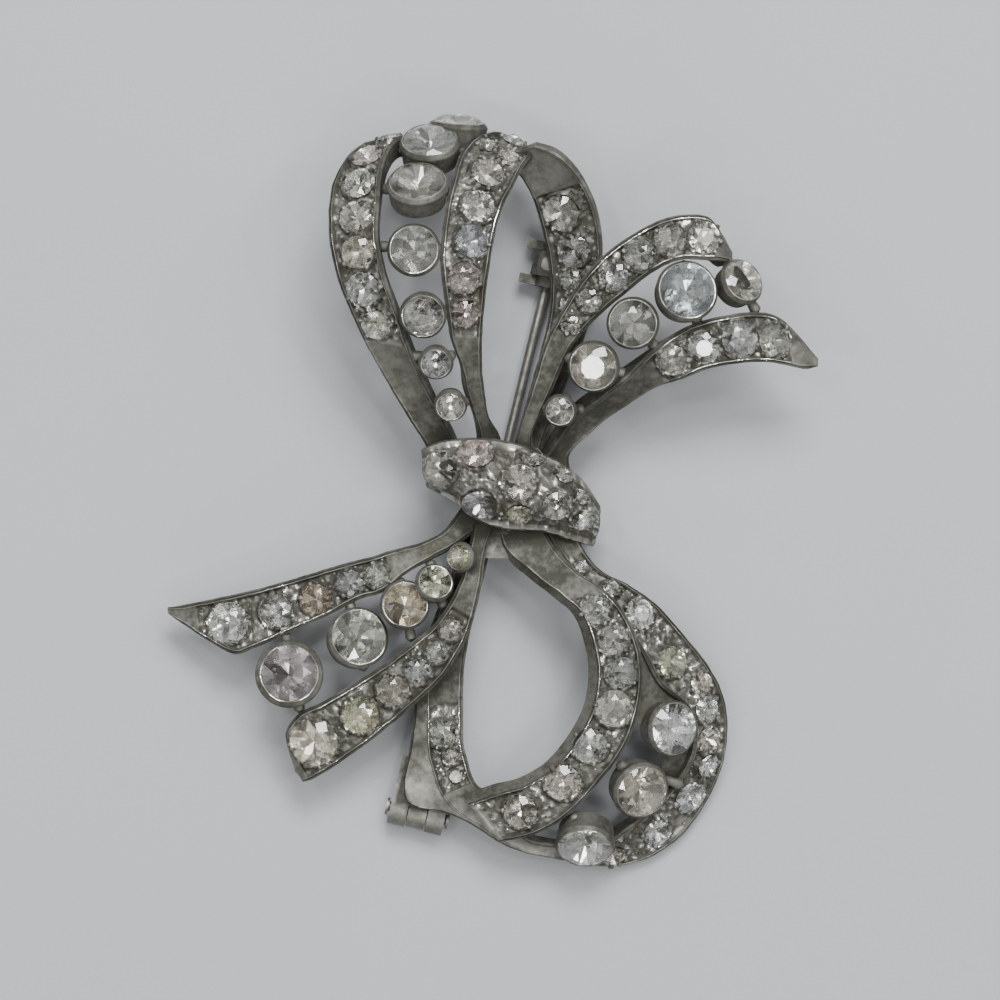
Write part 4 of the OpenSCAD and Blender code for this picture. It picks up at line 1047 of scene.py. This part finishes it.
def new_tree(name):
    material = bpy.data.materials.new(name)
    material.use_nodes = True
    material.node_tree.nodes.clear()
    return material, material.node_tree


def set_socket(tree, socket, value):
    """Gives a socket a value, or links another node's output to it."""
    if isinstance(value, bpy.types.NodeSocket):
        tree.links.new(value, socket)
    else:
        socket.default_value = value


def put(tree, kind, inputs=None, **choices):
    """A node with its choices and its inputs."""
    node = tree.nodes.new(kind)
    for key, value in choices.items():
        setattr(node, key, value)
    for key, value in (inputs or {}).items():
        set_socket(tree, node.inputs[key], value)
    return node


def surface(tree, inputs):
    """The material's surface."""
    shader = put(tree, "ShaderNodeBsdfPrincipled", inputs)
    tree.links.new(shader.outputs[0], put(tree, "ShaderNodeOutputMaterial").inputs[0])


def math_node(tree, operation, a, b):
    return put(tree, "ShaderNodeMath", {0: a, 1: b}, operation=operation).outputs[0]


def plus(tree, a, b):
    return math_node(tree, "ADD", a, b)


def times(tree, a, b):
    return math_node(tree, "MULTIPLY", a, b)


def swing(tree, noise_value, reach):
    """Noise turned into a swing to both sides of zero."""
    return times(tree, math_node(tree, "SUBTRACT", noise_value, 0.5), reach)


def ramp(tree, value, low, high, to_low=0.0, to_high=1.0):
    return put(tree, "ShaderNodeMapRange", {
        "Value": value, "From Min": low, "From Max": high, "To Min": to_low, "To Max": to_high}).outputs[0]


def blend_colours(tree, factor, a, b, blend="MIX"):
    node = put(tree, "ShaderNodeMix", {0: factor}, data_type="RGBA", blend_type=blend)
    set_socket(tree, node.inputs[6], a)
    set_socket(tree, node.inputs[7], b)
    return node.outputs[2]


def patches(tree, scale, detail, roughness=0.55, shift=0.0):
    """Noise in patches, scale to the metre, moved along so that two of one scale differ."""
    where = put(tree, "ShaderNodeTexCoord").outputs["Object"]
    if shift:
        move = {0: where, 1: (shift, -shift, shift)}
        where = put(tree, "ShaderNodeVectorMath", move, operation="ADD").outputs[0]
    waves = {"Vector": where, "Scale": scale, "Detail": detail, "Roughness": roughness}
    return put(tree, "ShaderNodeTexNoise", waves).outputs["Fac"]


def painted(tree, name):
    """What a mesh holds under a name, at each of its points or corners."""
    return put(tree, "ShaderNodeAttribute", attribute_name=name, attribute_type="GEOMETRY").outputs


def bumped(tree, strength, distance, height):
    sizes = {"Strength": strength, "Distance": distance, "Height": height}
    return put(tree, "ShaderNodeBump", sizes).outputs[0]


def colour4(c):
    return (c[0], c[1], c[2], 1.0)


def cast_metal(name, metal, worn=None, sheen=0.0):
    """Tarnished cast metal: patina in the recesses, grey on the open faces, and near white along the worn
    edges, partly real wear and partly a painted highlight.
    """
    material, tree = new_tree(name)
    if worn is None:
        wear = painted(tree, "wear")["Fac"]
    else:
        wear = ramp(tree, patches(tree, 900, 3), 0.35, 0.65, worn - 0.15, worn + 0.15)
    wide, fine = patches(tree, 230, 4, 0.6), patches(tree, 1700, 4, 0.65, 0.3)
    grit = patches(tree, 7000, 2, 0.5, 0.7)
    open_sky = put(tree, "ShaderNodeAmbientOcclusion", {"Distance": 0.0016}, samples=8).outputs["AO"]
    clean = plus(tree, times(tree, wear, 0.9), times(tree, open_sky, 0.3))
    clean = plus(tree, plus(tree, clean, swing(tree, wide, 1.1)), swing(tree, fine, 0.8))
    clean = ramp(tree, clean, 0.2, 1.1)
    # Where the wear is high the near-white colour goes on: real wear and a painted highlight on rims, cup
    # lips and the ground's lumps
    edge = ramp(tree, plus(tree, wear, swing(tree, fine, 0.8)), 0.72, 0.95)
    brown = ramp(tree, patches(tree, 420, 3, 0.6, 1.9), 0.58, 0.72, 0.0, 0.22)
    tone = blend_colours(tree, clean, colour4(metal.patina), colour4(metal.silver))
    tone = blend_colours(tree, brown, tone, colour4(metal.brown))
    tone = blend_colours(tree, times(tree, edge, 0.9), tone, colour4(metal.bright))
    height = plus(tree, times(tree, fine, 0.6), times(tree, grit, 0.4))
    surface(tree, {
        "Base Color": tone, "Metallic": ramp(tree, clean, 0.0, 0.6, 0.7, 1.0),
        "Roughness": ramp(tree, plus(tree, clean, times(tree, edge, 0.6)), 0.0, 1.6, 0.8 - sheen, 0.16),
        "Normal": bumped(tree, 0.55, 0.00006, height)})
    return material


def stone_glass(name, cut):
    """The clear crown, lightly scratched and tinted by the stone's own tone."""
    material, tree = new_tree(name)
    tone = painted(tree, "tone")["Color"]
    surface(tree, {
        "Base Color": blend_colours(tree, 1.0, tone, colour4(cut.glass), "MULTIPLY"),
        "Roughness": ramp(tree, patches(tree, 1600, 3, 0.6), 0.5, 0.75, 0.0, 0.06),
        "IOR": 1.55, "Transmission Weight": 1.0,
        "Normal": bumped(tree, 0.05, 0.000008, patches(tree, 900, 2, 0.5, 0.4))})
    return material


def stone_foil(name, cut):
    """The silvered back of a stone, with dark places where the foil has gone."""
    material, tree = new_tree(name)
    facet = painted(tree, "tone")
    gone = ramp(tree, patches(tree, 700, 3, 0.6, 2.3), 0.6, 0.7, 0.0, 0.5)
    dull = ramp(tree, facet["Alpha"], 0.0, 1.0, 0.0, 0.22)
    surface(tree, {
        "Base Color": blend_colours(tree, gone, facet["Color"], colour4(cut.bare)),
        "Metallic": ramp(tree, gone, 0.0, 0.5, 0.87, 0.45),
        "Roughness": plus(tree, dull, ramp(tree, patches(tree, 1800, 3, 0.6), 0.3, 0.7, 0.01, 0.08))})
    return material


def floor_paper(name, tint):
    """Matt paper with faint clouds."""
    material, tree = new_tree(name)
    clouds = ramp(tree, patches(tree, 6, 3), 0.3, 0.7)
    surface(tree, {
        "Base Color": blend_colours(tree, clouds, colour4(tint), colour4([0.97 * c for c in tint])),
        "Roughness": ramp(tree, patches(tree, 40, 2), 0.3, 0.7, 0.7, 0.8),
        "Normal": bumped(tree, 0.1, 0.0001, patches(tree, 900, 3))})
    return material


# Stage
def add_light(name, at, wide, high, power, tint):
    """A soft light, as a pane that faces the brooch."""
    data = bpy.data.lights.new(name, "AREA")
    data.shape, data.size, data.size_y = "RECTANGLE", wide, high
    data.energy, data.color = power, tint
    lamp = bpy.data.objects.new(name, data)
    lamp.location = at
    lamp.rotation_euler = (-Vector(at)).to_track_quat("-Z", "Y").to_euler()
    bpy.context.scene.collection.objects.link(lamp)


def add_floor(tint):
    """The paper that the brooch lies on."""
    z, half = CAD_BOX[0][2] - FLOOR_GAP, FLOOR_HALF
    mesh = bpy.data.meshes.new("floor")
    corners = [(-half, -half, z), (half, -half, z), (half, half, z), (-half, half, z)]
    mesh.from_pydata(corners, [], [(0, 1, 2, 3)])
    mesh.materials.append(floor_paper("floor_paper", tint))
    floor = bpy.data.objects.new("floor", mesh)
    bpy.context.scene.collection.objects.link(floor)


def add_room(brightness):
    """The room round the brooch, in soft dark and light parts."""
    world = bpy.data.worlds.new("studio")
    world.use_nodes = True
    tree = world.node_tree
    back = tree.nodes["Background"]
    clouds = ramp(tree, patches(tree, 2.2, 2), 0.42, 0.56)
    tree.links.new(blend_colours(tree, clouds, ROOM_DARK, ROOM_LIGHT), back.inputs[0])
    back.inputs[1].default_value = brightness
    bpy.context.scene.world = world


def add_camera(height):
    """The camera, straight above the brooch."""
    data = bpy.data.cameras.new("camera")
    data.sensor_width, data.lens = SENSOR, LENS
    data.dof.use_dof = False
    camera = bpy.data.objects.new("camera", data)
    camera.location = (LOOK_AT[0] * MM, LOOK_AT[1] * MM, height)
    bpy.context.scene.collection.objects.link(camera)
    bpy.context.scene.camera = camera


# Operators
class BROOCH_OT_ribbons(bpy.types.Operator):
    """Builds the ten cast ribbons with their rims, seats and claws"""
    bl_idname = "brooch.ribbons"
    bl_label = "Ribbons"

    def execute(self, context):
        for number, name in enumerate(RIBBONS):
            make_ribbon(name, settings().metal, random.Random(100 + number))
        return {"FINISHED"}


class BROOCH_OT_knot(bpy.types.Operator):
    """Builds the arched knot with its seats and claws"""
    bl_idname = "brooch.knot"
    bl_label = "Knot"

    def execute(self, context):
        make_knot(settings().metal, random.Random(31))
        return {"FINISHED"}


class BROOCH_OT_cups(bpy.types.Operator):
    """Builds the turned cup under each large stone"""
    bl_idname = "brooch.cups"
    bl_label = "Stone cups"

    def execute(self, context):
        for number, cup in enumerate(CUPS):
            make_cup(cup, settings().stones, number * 3.7)
        return {"FINISHED"}


class BROOCH_OT_bars(bpy.types.Operator):
    """Builds the bars and the plates between the ribbons and the pads over the hinge and the catch"""
    bl_idname = "brooch.bars"
    bl_label = "Bars and pads"

    def execute(self, context):
        bars = Casting()
        for bar in BARS:
            add_bar(bars, Vector(bar[:3]), Vector(bar[3:]))
        bars.make("cup_bars")
        for name, table in (("loop_web", LOOP_WEB), ("throat", THROAT)):
            plate = Casting()
            add_plate(plate, table)
            plate.make(name)
        for name, sizes in zip(("hinge_pad", "catch_pad"), PADS):
            pad = Casting()
            add_pad(pad, *sizes)
            pad.make(name)
        return {"FINISHED"}


class BROOCH_OT_cup_stones(bpy.types.Operator):
    """Builds the large stones in their cups"""
    bl_idname = "brooch.cup_stones"
    bl_label = "Large stones"

    def execute(self, context):
        cut = settings().stones
        for number, cup in enumerate(CUPS):
            rnd = random.Random(cut.seed * 1000 + number)
            stones = Stones(cut, rnd)
            tint = SPECIAL.get((cup[0], 0)) or rnd.choice(TINTS[:LARGE_TINTS])
            stones.add(cup_frame(cup), cup[6], cut.cone_share * cup[6], tint)
            stones.make(cup[0])
        return {"FINISHED"}


class BROOCH_OT_small_stones(bpy.types.Operator):
    """Builds the small stones of the ribbons and of the knot"""
    bl_idname = "brooch.small_stones"
    bl_label = "Small stones"

    def execute(self, context):
        cut = settings().stones
        for number, name in enumerate(SMALL_STONES):
            rnd = random.Random(cut.seed * 2000 + number)
            stones = Stones(cut, rnd)
            node = name + "_stones"
            for k, (at, up, r) in enumerate(seats_of(name)):
                cone = cut.cone_share * r if name == "knot" else min(cut.cone_share * r, SMALL_CONE)
                stones.add(stand(at, up), r, cone, SPECIAL.get((node, k)) or rnd.choice(TINTS))
            stones.make(node)
        return {"FINISHED"}


class BROOCH_OT_findings(bpy.types.Operator):
    """Gives the hinge, the pin and the catch their metal"""
    bl_idname = "brooch.findings"
    bl_label = "Pin and findings"

    def execute(self, context):
        metal = settings().metal
        for material, nodes in (
            (cast_metal("hinge_metal", metal, 0.38), ("hinge_base",)),
            (cast_metal("catch_metal", metal, 0.12), ("catch_collar", "catch_barrel")),
            (cast_metal("pin_wire", metal, 0.5, 0.08), ("pin_stem", "hinge_rivet")),
        ):
            for node in nodes:
                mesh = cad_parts[node].data
                mesh.materials.clear()
                mesh.materials.append(material)
        return {"FINISHED"}


class BROOCH_OT_stage(bpy.types.Operator):
    """Sets the floor, the soft lights, the room and the camera"""
    bl_idname = "brooch.stage"
    bl_label = "Stage"

    def execute(self, context):
        stage = settings().stage
        add_floor(stage.floor)
        for name, at, wide, high, power, tint in LIGHTS:
            add_light(name, at, wide, high, power * stage.key, tint)
        for number, (x, y, wide, high) in enumerate(PANES):
            power = PANE_POWER * wide * high * stage.key
            add_light("pane_%d" % (number + 1), (x, y, PANE_Z), wide, high, power, PANE_TINT)
        add_room(stage.room)
        add_camera(stage.camera_height)
        return {"FINISHED"}


class BROOCH_PT_panel(bpy.types.Panel):
    """The brooch's settings and build steps"""
    bl_idname = "BROOCH_PT_panel"
    bl_label = "Bow brooch"
    bl_space_type = "VIEW_3D"
    bl_region_type = "UI"
    bl_category = "Brooch"

    def draw(self, context):
        for group in (settings().metal, settings().stones, settings().stage):
            box = self.layout.box()
            for key in group.bl_rna.properties.keys():
                if key not in ("rna_type", "name"):
                    box.prop(group, key)
        for step in STEPS:
            self.layout.operator(step.bl_idname)


STEPS = (BROOCH_OT_ribbons, BROOCH_OT_knot, BROOCH_OT_cups, BROOCH_OT_bars, BROOCH_OT_cup_stones,
         BROOCH_OT_small_stones, BROOCH_OT_findings, BROOCH_OT_stage)
CLASSES = (BroochMetal, BroochStones, BroochStage, BroochSettings) + STEPS + (BROOCH_PT_panel,)


def register():
    for c in CLASSES:
        bpy.utils.register_class(c)
    bpy.types.Scene.brooch = PointerProperty(type=BroochSettings)


def unregister():
    del bpy.types.Scene.brooch
    for c in reversed(CLASSES):
        bpy.utils.unregister_class(c)


def main():
    register()
    bpy.ops.brooch.ribbons()
    bpy.ops.brooch.knot()
    bpy.ops.brooch.cups()
    bpy.ops.brooch.bars()
    bpy.ops.brooch.cup_stones()
    bpy.ops.brooch.small_stones()
    bpy.ops.brooch.findings()
    bpy.ops.brooch.stage()


if __name__ == "__main__":
    main()
